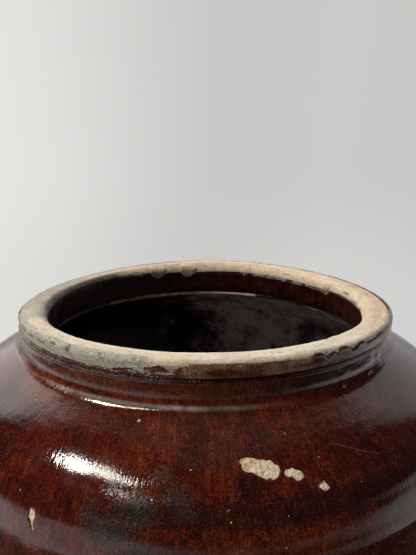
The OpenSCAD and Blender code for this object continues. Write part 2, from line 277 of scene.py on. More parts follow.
def loop_faces(rows, cols):
    """Faces of a closed ring whose section is a closed loop of rows."""
    i, j = np.meshgrid(np.arange(rows), np.arange(cols), indexing="ij")
    i, j = i.ravel(), j.ravel()
    m, k = (i + 1) % rows, (j + 1) % cols
    return [np.stack([i * cols + j, i * cols + k, m * cols + k, m * cols + j], -1)]


# Node materials

def new_material(name):
    """A material with an empty node tree but for the shader and its output."""
    material = bpy.data.materials.new(name)
    material.use_nodes = True
    tree = material.node_tree
    tree.nodes.clear()
    output = tree.nodes.new("ShaderNodeOutputMaterial")
    shader = tree.nodes.new("ShaderNodeBsdfPrincipled")
    tree.links.new(shader.outputs["BSDF"], output.inputs["Surface"])
    return material, tree, shader


def put(tree, socket, value):
    """Links a socket or sets a number or colour."""
    if isinstance(value, bpy.types.NodeSocket):
        tree.links.new(value, socket)
    elif isinstance(value, tuple) and socket.type == "RGBA" and len(value) == 3:
        socket.default_value = (*value, 1.0)
    else:
        socket.default_value = value


def noise(tree, scale, detail=3.0, roughness=0.55, distortion=0.0, stretch=(1, 1, 1), along=None):
    """Noise on the object's own coordinates in metres, or on a vector attribute."""
    if along:
        where = tree.nodes.new("ShaderNodeAttribute")
        where.attribute_name = along
        vector = where.outputs["Vector"]
    else:
        where = tree.nodes.new("ShaderNodeTexCoord")
        vector = where.outputs["Object"]
    if stretch != (1, 1, 1):
        mapping = tree.nodes.new("ShaderNodeMapping")
        mapping.inputs["Scale"].default_value = stretch
        tree.links.new(vector, mapping.inputs["Vector"])
        vector = mapping.outputs["Vector"]
    texture = tree.nodes.new("ShaderNodeTexNoise")
    put(tree, texture.inputs["Scale"], scale)
    put(tree, texture.inputs["Detail"], detail)
    put(tree, texture.inputs["Roughness"], roughness)
    put(tree, texture.inputs["Distortion"], distortion)
    tree.links.new(vector, texture.inputs["Vector"])
    return texture.outputs["Fac"]


def attribute(tree, name):
    node = tree.nodes.new("ShaderNodeAttribute")
    node.attribute_name = name
    return node.outputs["Fac"]


def sums(tree, operation, a, b=0.0):
    node = tree.nodes.new("ShaderNodeMath")
    node.operation = operation
    put(tree, node.inputs[0], a)
    put(tree, node.inputs[1], b)
    return node.outputs[0]


def spread(tree, value, low, high, to_low=0.0, to_high=1.0):
    """Maps low..high to to_low..to_high, smoothly and without going past."""
    node = tree.nodes.new("ShaderNodeMapRange")
    node.interpolation_type = "SMOOTHSTEP"
    put(tree, node.inputs["Value"], value)
    for key, number in (("From Min", low), ("From Max", high), ("To Min", to_low), ("To Max", to_high)):
        put(tree, node.inputs[key], number)
    return node.outputs["Result"]


def mix(tree, fac, a, b, kind="MIX"):
    """Colour b over colour a by fac."""
    node = tree.nodes.new("ShaderNodeMix")
    node.data_type = "RGBA"
    node.blend_type = kind
    put(tree, node.inputs["Factor"], fac)
    put(tree, node.inputs["A"], a)
    put(tree, node.inputs["B"], b)
    return node.outputs["Result"]


def ramp(tree, fac, stops):
    """A colour ramp, where stops are (place, colour)."""
    node = tree.nodes.new("ShaderNodeValToRGB")
    elements = node.color_ramp.elements
    while len(elements) > 1:
        elements.remove(elements[-1])
    for i, (where, colour) in enumerate(stops):
        element = elements[0] if i == 0 else elements.new(where)
        element.position = where
        element.color = (*colour, 1.0)
    tree.links.new(fac, node.inputs["Fac"])
    return node.outputs["Color"]


def ragged(tree, mask, grain, reach=0.5):
    """A soft mask whose edge is broken up by a grain."""
    moved = sums(tree, "ADD", mask, sums(tree, "MULTIPLY", sums(tree, "SUBTRACT", grain, 0.5), reach * 2))
    return spread(tree, sums(tree, "MULTIPLY", moved, spread(tree, mask, 0.0, 0.12)), 0.30, 0.60)


def bump(tree, shader, heights):
    """Bumps of several noises, each with its height in metres."""
    normal = None
    for height, distance in heights:
        node = tree.nodes.new("ShaderNodeBump")
        node.inputs["Strength"].default_value = 1.0
        node.inputs["Distance"].default_value = distance
        put(tree, node.inputs["Height"], height)
        if normal is not None:
            tree.links.new(normal, node.inputs["Normal"])
        normal = node.outputs["Normal"]
    tree.links.new(normal, shader.inputs["Normal"])


def coat_material():
    """Iron-red glaze with fine speckle, brush strokes, dull ash and thin olive places, painted shade among its dark
    places and a painted highlight along the neck's fillet.
    """
    material, tree, shader = new_material("brown_glaze")
    grain = noise(tree, 1900, 2, 0.6)
    fine = noise(tree, 1150, 3, 0.7)
    cloud = noise(tree, 230, 4, 0.62, 0.8)
    broad = noise(tree, 42, 3, 0.55, 0.6)
    brush = noise(tree, 1.0, 3, 0.55, 0.3, along="brush")
    tone = sums(tree, "ADD", sums(tree, "MULTIPLY", cloud, 0.55), sums(tree, "MULTIPLY", brush, 0.45))
    colour = ramp(tree, tone, [
        (0.36, (0.026, 0.0036, 0.0032)), (0.44, (0.053, 0.0060, 0.0036)), (0.52, (0.084, 0.0098, 0.0038)),
        (0.60, (0.118, 0.0165, 0.0044)), (0.68, (0.155, 0.0290, 0.0066))])
    warm = sums(tree, "MULTIPLY", attribute(tree, "warm"), spread(tree, broad, 0.3, 0.6, 0.3, 1.0))
    colour = mix(tree, warm, colour, ramp(tree, tone, [
        (0.36, (0.062, 0.0080, 0.0038)), (0.50, (0.122, 0.0195, 0.0047)), (0.62, (0.205, 0.0450, 0.0078))]))
    # The dark attribute holds dark marks in the glaze and painted shade in the grooves and on the right side.
    dark = attribute(tree, "dark")
    colour = mix(tree, sums(tree, "MULTIPLY", ragged(tree, dark, fine, 1.3), 0.80), colour, (0.0140, 0.0038, 0.0042))
    colour = mix(tree, 1.0, colour, ramp(tree, grain, [
        (0.38, (0.40, 0.46, 0.66)), (0.47, (0.78, 0.80, 0.88)), (0.53, (1.10, 1.10, 1.02)), (0.62, (1.85, 1.75, 1.40))]),
        "MULTIPLY")
    matt = ragged(tree, attribute(tree, "matt"), fine, 1.9)
    dull = mix(tree, spread(tree, noise(tree, 620, 4, 0.75, 1.4), 0.60, 0.68), ramp(tree, grain, [
        (0.38, (0.005, 0.004, 0.0033)), (0.50, (0.015, 0.012, 0.009)), (0.60, (0.042, 0.033, 0.025))]),
        (0.20, 0.15, 0.085))
    colour = mix(tree, sums(tree, "MULTIPLY", matt, 0.85), colour, dull)
    olive = attribute(tree, "olive")
    colour = mix(tree, sums(tree, "MULTIPLY", olive, spread(tree, tone, 0.38, 0.56, 0.45, 0.95)), colour,
                 ramp(tree, grain, [(0.36, (0.105, 0.056, 0.027)), (0.50, (0.205, 0.126, 0.066)),
                                    (0.62, (0.350, 0.240, 0.140))]))
    # A pale grey that paints the highlight line along the neck's fillet, and pale smears on the neck.
    colour = mix(tree, sums(tree, "MULTIPLY", attribute(tree, "smear_and_painted_highlight"), spread(tree, cloud, 0.25, 0.6, 0.35, 1.0)), colour,
                 (0.50, 0.47, 0.44))
    # On the neck's fillet this grey is partly a painted highlight.
    ash = ragged(tree, attribute(tree, "ash"), noise(tree, 900, 4, 0.7), 1.5)
    colour = mix(tree, sums(tree, "MULTIPLY", ash, 0.9), colour, ramp(tree, grain, [
        (0.38, (0.14, 0.125, 0.11)), (0.5, (0.32, 0.29, 0.255)), (0.62, (0.58, 0.53, 0.45))]))
    tree.links.new(colour, shader.inputs["Base Color"])
    rough = spread(tree, noise(tree, 70, 4), 0.35, 0.65, 0.05, 0.11)
    rough = sums(tree, "ADD", rough, sums(tree, "MULTIPLY", matt, 0.20))
    rough = sums(tree, "ADD", rough, sums(tree, "MULTIPLY", ash, 0.35))
    rough = sums(tree, "ADD", rough, sums(tree, "MULTIPLY", attribute(tree, "satin"), 0.16))
    tree.links.new(rough, shader.inputs["Roughness"])
    shader.inputs["IOR"].default_value = 1.5
    bump(tree, shader, [(brush, 0.000055), (noise(tree, 330, 2), 0.00003), (noise(tree, 1500, 2, 0.6), 0.000022)])
    return material


def clay_material(name, tones, grain_scale=900, wiped=False, rough=0.85):
    """Bare fired clay with a fine grain, pores and, on the rim, the strokes of the hand that wiped it."""
    material, tree, shader = new_material(name)
    grain = noise(tree, grain_scale, 3, 0.65)
    cloud = noise(tree, 90, 5, 0.62, 0.3)
    tone = sums(tree, "ADD", sums(tree, "MULTIPLY", cloud, 0.5), sums(tree, "MULTIPLY", grain, 0.5))
    heights = [(grain, 0.0004), (noise(tree, 330, 3, 0.6), 0.0005)]
    if wiped:
        wipe = noise(tree, 1.0, 4, 0.6, 0.1, along="wipe")
        tone = sums(tree, "ADD", sums(tree, "MULTIPLY", tone, 0.6), sums(tree, "MULTIPLY", wipe, 0.4))
        heights = [(grain, 0.00012), (noise(tree, 330, 3, 0.6), 0.0002), (wipe, 0.00016)]
    colour = ramp(tree, tone, [(0.40, tones[0]), (0.50, tones[1]), (0.59, tones[2])])
    if wiped:
        colour = mix(tree, attribute(tree, "peach"), colour, ramp(tree, tone, [
            (0.40, (0.56, 0.37, 0.22)), (0.50, (0.72, 0.53, 0.345)), (0.59, (0.80, 0.66, 0.47))]))
        colour = mix(tree, attribute(tree, "pale"), colour, ramp(tree, tone, [
            (0.40, (0.58, 0.48, 0.36)), (0.50, (0.78, 0.69, 0.55)), (0.59, (0.88, 0.81, 0.69))]))
        # The far side's lighter tones are painted light.
        colour = mix(tree, attribute(tree, "far"), colour, ramp(tree, tone, [
            (0.40, (0.64, 0.46, 0.30)), (0.50, (0.86, 0.67, 0.48)), (0.59, (0.93, 0.80, 0.63))]))
        # Darker tones, partly painted shade in the folds' hollows and on the far top.
        colour = mix(tree, attribute(tree, "dusky_and_painted_shade"), colour, ramp(tree, tone, [
            (0.40, (0.22, 0.175, 0.125)), (0.50, (0.345, 0.28, 0.205)), (0.59, (0.46, 0.385, 0.29))]))
        grey = ragged(tree, attribute(tree, "grey"), tone, 1.2)
        colour = mix(tree, sums(tree, "MULTIPLY", grey, 0.85), colour, ramp(tree, tone, [
            (0.40, (0.17, 0.155, 0.130)), (0.50, (0.37, 0.335, 0.275)), (0.59, (0.56, 0.515, 0.43))]))
        scum = ragged(tree, attribute(tree, "scum"), noise(tree, 700, 4, 0.7), 1.3)
        colour = mix(tree, sums(tree, "MULTIPLY", scum, 0.6), colour, ramp(tree, grain, [
            (0.42, (0.23, 0.23, 0.205)), (0.58, (0.52, 0.515, 0.46))]))
        # Brown stains, with painted shade round the rim's folds.
        stain_and_painted_shade = ragged(tree, attribute(tree, "stain_and_painted_shade"), noise(tree, 700, 4, 0.7), 1.1)
        colour = mix(tree, sums(tree, "MULTIPLY", stain_and_painted_shade, 0.85), colour, ramp(tree, grain, [
            (0.42, (0.045, 0.028, 0.018)), (0.58, (0.17, 0.105, 0.06))]))
    pores = spread(tree, noise(tree, 1300, 2, 0.5), 0.63, 0.69)
    colour = mix(tree, sums(tree, "MULTIPLY", pores, 0.6), colour, (0.16, 0.10, 0.06))
    tree.links.new(colour, shader.inputs["Base Color"])
    shader.inputs["Roughness"].default_value = rough
    bump(tree, shader, heights)
    return material


def mouth_material():
    """The dark red glaze of the mouth, with grey ash under the rim and painted shade, near black, on its unlit left
    side.
    """
    material, tree, shader = new_material("mouth_glaze")
    grain = noise(tree, 1500, 2, 0.6)
    cloud = noise(tree, 160, 4, 0.62, 0.6)
    colour = ramp(tree, cloud, [(0.34, (0.010, 0.0024, 0.0020)), (0.50, (0.026, 0.0052, 0.0036)), (0.66, (0.048, 0.011, 0.006))])
    # Painted shade: the mouth's left side, which no lamp reaches, is painted near black and dull.
    colour = mix(tree, sums(tree, "MULTIPLY", attribute(tree, "left_painted_shade"), 0.97), colour, (0.003, 0.0025, 0.002))
    colour = mix(tree, 1.0, colour, ramp(tree, grain, [
        (0.3, (0.5, 0.5, 0.6)), (0.5, (1.0, 1.0, 1.0)), (0.7, (1.9, 1.9, 1.8))]), "MULTIPLY")
    ash = ragged(tree, attribute(tree, "ash"), noise(tree, 380, 4, 0.7, 0.5), 0.9)
    colour = mix(tree, sums(tree, "MULTIPLY", ash, 0.8), colour, ramp(tree, cloud, [
        (0.4, (0.12, 0.13, 0.11)), (0.6, (0.33, 0.34, 0.29))]))
    tree.links.new(colour, shader.inputs["Base Color"])
    rough = sums(tree, "ADD", spread(tree, noise(tree, 90, 4), 0.35, 0.65, 0.14, 0.30), sums(tree, "MULTIPLY", ash, 0.4))
    rough = sums(tree, "ADD", rough, sums(tree, "MULTIPLY", attribute(tree, "left_painted_shade"), 0.35))
    tree.links.new(rough, shader.inputs["Roughness"])
    shader.inputs["IOR"].default_value = 1.5
    shader.inputs["Specular IOR Level"].default_value = 0.3
    bump(tree, shader, [(cloud, 0.00012), (grain, 0.00004)])
    return material


def inside_material():
    """The near-black glaze of the inside, dulled by grey and brown dust, with painted light: the dust grows lighter
    towards the right, where light falls in through the mouth.
    """
    material, tree, shader = new_material("dark_glaze")
    cloud = noise(tree, 64, 8, 0.74, 0.12)
    broad = noise(tree, 16, 3, 0.6, 0.4)
    grain = noise(tree, 900, 2, 0.6)
    where = tree.nodes.new("ShaderNodeSeparateXYZ")
    tree.links.new(tree.nodes.new("ShaderNodeTexCoord").outputs["Object"], where.inputs["Vector"])
    dust_and_painted_light = sums(tree, "ADD", sums(tree, "MULTIPLY", cloud, 0.65), sums(tree, "MULTIPLY", broad, 0.35))
    # Painted light: more and lighter dust towards +X, the side where light falls in through the mouth.
    dust_and_painted_light = sums(tree, "ADD", dust_and_painted_light, spread(tree, where.outputs["X"], -0.070, 0.040, -0.14, 0.07))
    colour = ramp(tree, dust_and_painted_light, [
        (0.40, (0.010, 0.008, 0.0080)), (0.47, (0.080, 0.062, 0.062)), (0.54, (0.300, 0.255, 0.252)),
        (0.62, (0.680, 0.600, 0.585))])
    colour = mix(tree, 1.0, colour, ramp(tree, grain, [(0.3, (0.6, 0.6, 0.6)), (0.7, (1.5, 1.5, 1.5))]), "MULTIPLY")
    # The dust lies on the upper wall, and the glaze further down is clean and dark
    dusty = spread(tree, where.outputs["Z"], 0.060, 0.200, 0.0, 1.0)
    colour = mix(tree, dusty, mix(tree, 0.78, colour, (0.012, 0.009, 0.0085)), colour)
    tree.links.new(colour, shader.inputs["Base Color"])
    tree.links.new(spread(tree, dust_and_painted_light, 0.40, 0.60, 0.28, 0.75), shader.inputs["Roughness"])
    shader.inputs["Specular IOR Level"].default_value = 0.3
    bump(tree, shader, [(cloud, 0.0004), (grain, 0.00004)])
    return material


def lute_material():
    """Pale smoothed clay that the glaze of the mouth runs over in places."""
    material, tree, shader = new_material("lute_clay")
    grain = noise(tree, 900, 3, 0.65)
    cloud = noise(tree, 170, 4, 0.6)
    clay = ramp(tree, cloud, [(0.36, (0.34, 0.22, 0.16)), (0.52, (0.58, 0.43, 0.35)), (0.64, (0.70, 0.56, 0.47))])
    cover = ragged(tree, attribute(tree, "cover"), cloud, 0.8)
    tree.links.new(mix(tree, cover, clay, mix(tree, spread(tree, grain, 0.4, 0.65), (0.010, 0.007, 0.005),
                                              (0.055, 0.035, 0.022))), shader.inputs["Base Color"])
    tree.links.new(spread(tree, cover, 0.0, 1.0, 0.7, 0.35), shader.inputs["Roughness"])
    bump(tree, shader, [(grain, 0.0001), (cloud, 0.0003)])
    return material


def plain_material(name, tones, rough):
    """A small mark's material, with a little grain."""
    material, tree, shader = new_material(name)
    tree.links.new(ramp(tree, noise(tree, 1400, 3, 0.6), [(0.35, tones[0]), (0.6, tones[1])]), shader.inputs["Base Color"])
    shader.inputs["Roughness"].default_value = rough
    bump(tree, shader, [(noise(tree, 1600, 2), 0.00006)])
    return material


def dress(node, material):
    """Gives a CAD node a material of its own."""
    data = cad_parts[node].data
    data.materials.clear()
    data.materials.append(material)


rim_clay = clay_material("rim_clay", ((0.48, 0.335, 0.21), (0.69, 0.525, 0.355), (0.82, 0.675, 0.495)), wiped=True, rough=0.56)
wall_clay = clay_material("wall_clay", ((0.60, 0.41, 0.25), (0.84, 0.65, 0.43), (0.93, 0.80, 0.61)))
foot_clay = clay_material("foot_clay", ((0.24, 0.16, 0.10), (0.42, 0.30, 0.20), (0.55, 0.41, 0.28)), 700)
brown_glaze = coat_material()
mouth_glaze = mouth_material()
dark_glaze = inside_material()
lute_clay = lute_material()
speck_clay = plain_material("speck", ((0.45, 0.36, 0.26), (0.80, 0.74, 0.62)), 0.6)
scratch_mark = plain_material("scratch", ((0.10, 0.05, 0.025), (0.26, 0.16, 0.08)), 0.6)

for cad_node, cad_material in (
    ("base_slab", foot_clay), ("base_lute", foot_clay), ("lower_wall", wall_clay), ("belly_wall", wall_clay),
    ("shoulder_wall", wall_clay), ("neck_collar", wall_clay), ("neck_lute", lute_clay), ("rim_ring", rim_clay),
    ("interior_glaze", dark_glaze), ("neck_glaze", mouth_glaze), ("outer_glaze", brown_glaze),
):
    dress(cad_node, cad_material)


# The outline of the coat: faces outside and against the clay, and the direction out of the surface

def cubic(points, t):
    a, b, c, d = (np.array(p) for p in points)
    t = t[:, None]
    return (1 - t) ** 3 * a + 3 * (1 - t) ** 2 * t * b + 3 * (1 - t) * t * t * c + t ** 3 * d


def outline():
    """Arrays of the coat's outer face, its inner face and the outward direction, from the foot to the rim's top."""
    t = np.linspace(0, 1, 500)
    edge = (FOOT_R + GLAZE_T * math.cos(FOOT_LEAN), FOOT_ROUND - GLAZE_T * math.sin(FOOT_LEAN))
    end_a = math.radians(270) - SHOULDER_SLOPE
    top = (NECK_R + NECK_FILLET + NECK_FILLET * math.cos(end_a), NECK_END_Z + NECK_FILLET * math.sin(end_a))
    low = cubic((edge, (edge[0] + FOOT_REACH * math.sin(FOOT_LEAN), edge[1] + FOOT_REACH * math.cos(FOOT_LEAN)),
                 (BELLY_R, BELLY_Z - BELLY_LOW_REACH), (BELLY_R, BELLY_Z)), t)
    high = cubic(((BELLY_R, BELLY_Z), (BELLY_R, BELLY_Z + BELLY_HIGH_REACH),
                  (top[0] + SHOULDER_REACH * math.cos(SHOULDER_SLOPE), top[1] - SHOULDER_REACH * math.sin(SHOULDER_SLOPE)),
                  top), t)
    face = np.concatenate([low, high[1:]])
    along = np.gradient(face, axis=0)
    along /= np.linalg.norm(along, axis=1)[:, None]
    out = np.stack([along[:, 1], -along[:, 0]], -1)
    swell = np.zeros(len(face))
    for z in RINGS_Z:
        off = face[:, 1] - z
        swell = np.maximum(swell, np.where(np.abs(off) < RING_W / 2, np.cos(np.pi * off / RING_W) ** 2, 0))
    lift = (RING_RELIEF * swell)[:, None] * out
    parts = [(face + lift, face + lift - GLAZE_T * out, out)]
    a = np.linspace(end_a, math.pi, 24)[1:]
    ray = np.stack([np.cos(a), np.sin(a)], -1)
    centre = np.array([NECK_R + NECK_FILLET, NECK_END_Z])
    parts.append((centre + NECK_FILLET * ray, centre + (NECK_FILLET + GLAZE_T) * ray, -ray))
    z = np.arange(NECK_END_Z + 0.2, JAR_H - ROUND_OUT + 0.01, 0.1)
    r = NECK_R + smooth((z - RIM_UNDER_Z + 0.3) / 0.9) * (CLAY_RIM_R + GLAZE_T - NECK_R)
    for groove in GROOVES_Z:
        r = r - GROOVE_DEPTH * np.exp(-((z - groove) / 0.26) ** 2)
    clay = NECK_R - GLAZE_T + np.clip((z - RIM_UNDER_Z - GLAZE_T) / 0.5, 0, 1) * (CLAY_RIM_R - NECK_R + GLAZE_T)
    parts.append((np.stack([r, z], -1), np.stack([clay, z], -1), np.stack([np.ones_like(z), np.zeros_like(z)], -1)))
    a = np.linspace(0, math.radians(80), 20)[1:]
    ray = np.stack([np.cos(a), np.sin(a)], -1)
    centre = np.array([CLAY_RIM_R - ROUND_OUT, JAR_H - ROUND_OUT])
    parts.append((centre + (ROUND_OUT + GLAZE_T) * ray, centre + ROUND_OUT * ray, ray))
    face, clay, out = (np.concatenate([p[i] for p in parts]) for i in range(3))
    s = np.concatenate([[0], np.cumsum(np.linalg.norm(np.diff(face, axis=0), axis=1))])
    return s, face, clay, out


S, FACE, CLAY, OUT = outline()


def at_height(z):
    """How far along the outline a height of the coat's outer face lies."""
    side = FACE[:, 1] <= JAR_H - ROUND_OUT + 1e-6
    return np.interp(z, FACE[side, 1], S[side])


def on(curve, s):
    return np.interp(s, S, curve[:, 0]), np.interp(s, S, curve[:, 1])


S_FLOOR, S_NECK, S_BAND, S_SIDE = (float(at_height(z)) for z in (GLAZE_LINE_Z, NECK_END_Z, 293.95, JAR_H - ROUND_OUT))


def edge_s(height):
    """How far along the outline the clay reaches a height on the rim's side or on its rounded edge."""
    above = np.arcsin(np.clip((height - JAR_H + ROUND_OUT) / ROUND_OUT, 0, 0.97)) * (ROUND_OUT + GLAZE_T)
    return np.where(height > JAR_H - ROUND_OUT, S_SIDE + above, S_BAND + (height - 293.95))


def rim_sway(azimuth):
    """How far the hand-made rim strays: outward outside, outward in the mouth, and up."""
    ring = place(azimuth, 100.0, 300.0)
    a = np.radians(azimuth)
    up = -0.34 + 1.03 * np.sin(a) - 0.91 * np.cos(2 * a) - 0.30 * np.sin(3 * a)
    return 0.35 * lumps(ring, 42, 2, seed=1), 0.35 * lumps(ring, 34, 2, seed=2), up + 0.12 * lumps(ring, 30, 2, seed=3)


def coat_surface(azimuth, s, top, bottom, depth):
    """Points of the coat in millimetres, where depth runs from 0 at its outer face to 1 on the clay."""
    fr, fz = on(FACE, s)
    cr, cz = on(CLAY, s)
    nr, nz = on(OUT, s)
    base = place(azimuth, fr, fz)
    body = smooth((S_NECK - s) / 12)
    lift = (0.17 * lumps(base, 38, 2, seed=4) + 0.035 * lumps(base, 9, 2, seed=5)) * (0.35 + 0.65 * body)
    lift = lift + 0.03 * lumps(strokes(azimuth, s, 4.5, 70, 120), 1, 2, seed=6) * body
    lift = lift + 0.05 * lumps(base, 3.5, 2, seed=7) * (1 - body)
    lift = lift + 0.55 * np.exp(-((s - S_NECK + 2.6) / 2.0) ** 2)
    worn = np.maximum(smooth((azimuth + 146) / 10) * smooth((-104 - azimuth) / 12), 0.6 * smooth((azimuth + 66) / 16))
    for ring in RINGS_Z:
        off = np.clip((fz - ring) / RING_W, -0.5, 0.5)
        lift = lift - 0.95 * RING_RELIEF * worn * np.cos(np.pi * off) ** 2
    thin = np.sqrt(np.clip((top - s) / 1.3, 0, 1)) * np.sqrt(np.clip((s - bottom) / 1.3, 0, 1))
    thin = (0.07 + 0.93 * thin) * (1 - depth)
    r = cr + thin * (fr - cr + nr * lift)
    z = cz + thin * (fz - cz + nz * lift)
    outward, _, up = rim_sway(azimuth)
    wobble = 0.14 * lumps(place(azimuth, 101.0, 0.0), 26, 2, seed=8) * smooth((s - S_NECK - 2) / 3) * smooth((S_SIDE - s) / 2)
    r = r + outward * smooth((z - 290.5) / 4)
    z = z + up * smooth((z - 286.5) / 8) + wobble
    return place(azimuth, r, z)


# The outer coat with its chips

def inside_outline(x, y, outline_points):
    """Whether points lie in an outline, and the nearest point of it to each."""
    a = np.array(outline_points)
    b = np.roll(a, -1, axis=0)
    p = np.stack([x, y], -1)[..., None, :]
    t = np.clip(((p - a) * (b - a)).sum(-1) / ((b - a) ** 2).sum(-1), 0, 1)
    near = a + t[..., None] * (b - a)
    nearest = np.take_along_axis(near, ((p - near) ** 2).sum(-1).argmin(-1)[..., None, None], -2)[..., 0, :]
    crosses = (a[:, 1] > y[..., None]) != (b[:, 1] > y[..., None])
    cut = a[:, 0] + (y[..., None] - a[:, 1]) / np.where(b[:, 1] == a[:, 1], 1e-9, b[:, 1] - a[:, 1]) * (b[:, 0] - a[:, 0])
    return (crosses & (x[..., None] < cut)).sum(-1) % 2 == 1, nearest


def chip_frame(chip):
    """A chip's place along the outline and the jar's radius there."""
    s0 = float(at_height(JAR_H - chip[1]))
    return s0, float(on(FACE, np.array([s0]))[0][0])


def outer_coat():
    s_marks = [float(at_height(JAR_H - d)) for d in (120, 56, 50.5, 41.5, 38, 25.5)]
    rows = steps((S_FLOOR + 6, s_marks[0], 6.0), (s_marks[0], s_marks[1], 3.0), (s_marks[1], s_marks[2], 1.2),
                 (s_marks[2], s_marks[3], 0.5), (s_marks[3], s_marks[4], 0.9), (s_marks[4], s_marks[5], 0.42),
                 (s_marks[5], S_NECK - 7, 1.1), (S_NECK - 7, S_NECK, 0.7), (S_NECK, S_BAND - 3, 0.6),
                 (S_BAND - 3, S_BAND, 0.16))
    cols = steps((-180, -170, 1.0), (-170, -118, 0.3), (-118, -112, 0.2), (-112, -87, 0.25), (-87, -69, 0.2),
                 (-69, -10, 0.3), (-10, 180, 1.0))
    top = edge_s(by_direction(cols, COAT_EDGE) + 0.22 * lumps(place(cols, 102.0, 0.0), 5.5, 3, seed=9))
    bare = (cols > -161) & (cols < -113)
    top = np.where(bare, np.maximum(S_BAND + 0.15, S_BAND + 0.5 + 0.8 * lumps(place(cols, 102.0, 0.0), 7, 2, seed=10)), top)
    top = np.maximum(top, S_BAND + 0.12)
    foot = S_FLOOR + 1.5 * lumps(place(cols, 98.0, 0.0), 30, 3, seed=12)
    low_rows, high_rows = 7, 18
    k = np.arange(low_rows)[:, None] / low_rows
    s_low = foot + (rows[0] - foot) * k ** 1.5
    k = (np.arange(high_rows)[:, None] + 1) / high_rows
    s_high = S_BAND + (top - S_BAND) * (1 - (1 - k) ** 1.4)
    s = np.concatenate([s_low, np.repeat(rows[:, None], len(cols), 1), s_high])
    az = np.repeat(cols[None], len(s), 0)
    holes = np.zeros((len(s) - 1, len(cols)), bool)
    keep_row = np.zeros(len(s), bool)
    keep_col = np.zeros(len(cols), bool)
    for chip in CHIPS:
        s0, r0 = chip_frame(chip)
        reach = np.array(chip[2])
        rr = np.flatnonzero((s[:, 0] > s0 + reach[:, 1].min() - 2) & (s[:, 0] < s0 + reach[:, 1].max() + 2))
        cc = np.flatnonzero(np.abs(turn(cols, chip[0])) < np.degrees((np.abs(reach[:, 0]).max() + 2) / r0))
        window = np.ix_(rr, cc)
        x = np.radians(az[window] - chip[0]) * r0
        y = s[window] - s0
        mid_x = (x[:-1, :-1] + x[1:, 1:]) / 2
        mid_y = (y[:-1, :-1] + y[1:, 1:]) / 2
        hole, _ = inside_outline(mid_x, mid_y, chip[2])
        holes[np.ix_(rr[:-1], cc[:-1])] |= hole
        padded = np.pad(hole, 1)
        around = np.stack([padded[:-1, :-1], padded[1:, :-1], padded[:-1, 1:], padded[1:, 1:]])
        rim = around.any(0) & ~around.all(0)
        _, nearest = inside_outline(x, y, chip[2])
        az[window] = np.where(rim, az[window] + 0.8 * np.degrees((nearest[..., 0] - x) / r0), az[window])
        s[window] = np.where(rim, s[window] + 0.8 * (nearest[..., 1] - y), s[window])
        keep_row[rr] = True
        keep_col[cc] = True
    last = -99.0
    for i in range(len(s)):
        if i in (0, len(s) - 1) or s[i, 0] - last > (9 if s[i, 0] < S_BAND - 40 else 2.0) or keep_row[i]:
            keep_row[i] = True
            last = s[i, 0]
    keep_col[::6] = True
    outer = coat_surface(az, s, top, foot, 0.0)
    inner = coat_surface(az, s, top, foot, 1.0)
    r = np.hypot(outer[..., 0], outer[..., 1])
    drop = JAR_H - on(FACE, s)[1]
    base = place(az, r, outer[..., 2])
    front = smooth((az + 130) / 14) * smooth((-42 - az) / 14)
    ring_line = 37.5 + 1.9 * smooth((az + 68) / 14) + 0.5 * smooth((-104 - az) / 12)
    broken = 0.55 + 0.9 * lumps(base, 16, 3, seed=39)
    dark = 0.9 * np.exp(-((drop - ring_line) / 0.75) ** 2) * (0.3 + 0.7 * front) * np.clip(broken, 0.25, 1)
    dark = np.maximum(dark, 0.40 * np.exp(-((drop - 51.2) / 1.2) ** 2) * np.clip(broken, 0.2, 1))
    dark = np.maximum(dark, spots(az, drop, r, DARK_MARKS))
    dark = np.maximum(dark, 0.45 * smooth(lumps(base, 26, 3, seed=13) * 2.2 - 0.15))
    # Painted shade in the grooves under the rim's band, deeper on the right side.
    groove = smooth((drop - 6.3) / 0.5) * smooth((9.0 - drop) / 0.5)
    shade = smooth((az + 92) / 12) * smooth((60 - az) / 60)
    dark = np.maximum(dark, groove * (0.45 + 0.5 * shade))
    # Painted shade on the neck's right side, away from the lamps.
    dark = np.maximum(dark, 0.85 * smooth((az + 84) / 24) * smooth((40 - az) / 60) * smooth((17 - drop) / 3))
    # Painted shade on the lower shoulder, deeper towards the right.
    lower = smooth((drop - 33) / 4) * smooth((45 - drop) / 6)
    dark = np.maximum(dark, lower * smooth((az + 104) / 10) * (0.62 + 0.25 * smooth((az + 84) / 14)) * smooth((20 - az) / 40))
    dark = np.maximum(dark, 0.50 * smooth((-116 - az) / 12) * smooth((az + 170) / 20) * smooth((drop - 21) / 4))
    # Painted shade on the right side of the shoulder, away from the lamps.
    dark = np.maximum(dark, 0.46 * smooth((az + 80) / 16) * smooth((drop - 20) / 6) * smooth((20 - az) / 40))
    warm = np.maximum(spots(az, drop, r, WARM_MARKS), 0.6 * smooth(lumps(base, 30, 3, seed=14) * 2.2 - 0.2))
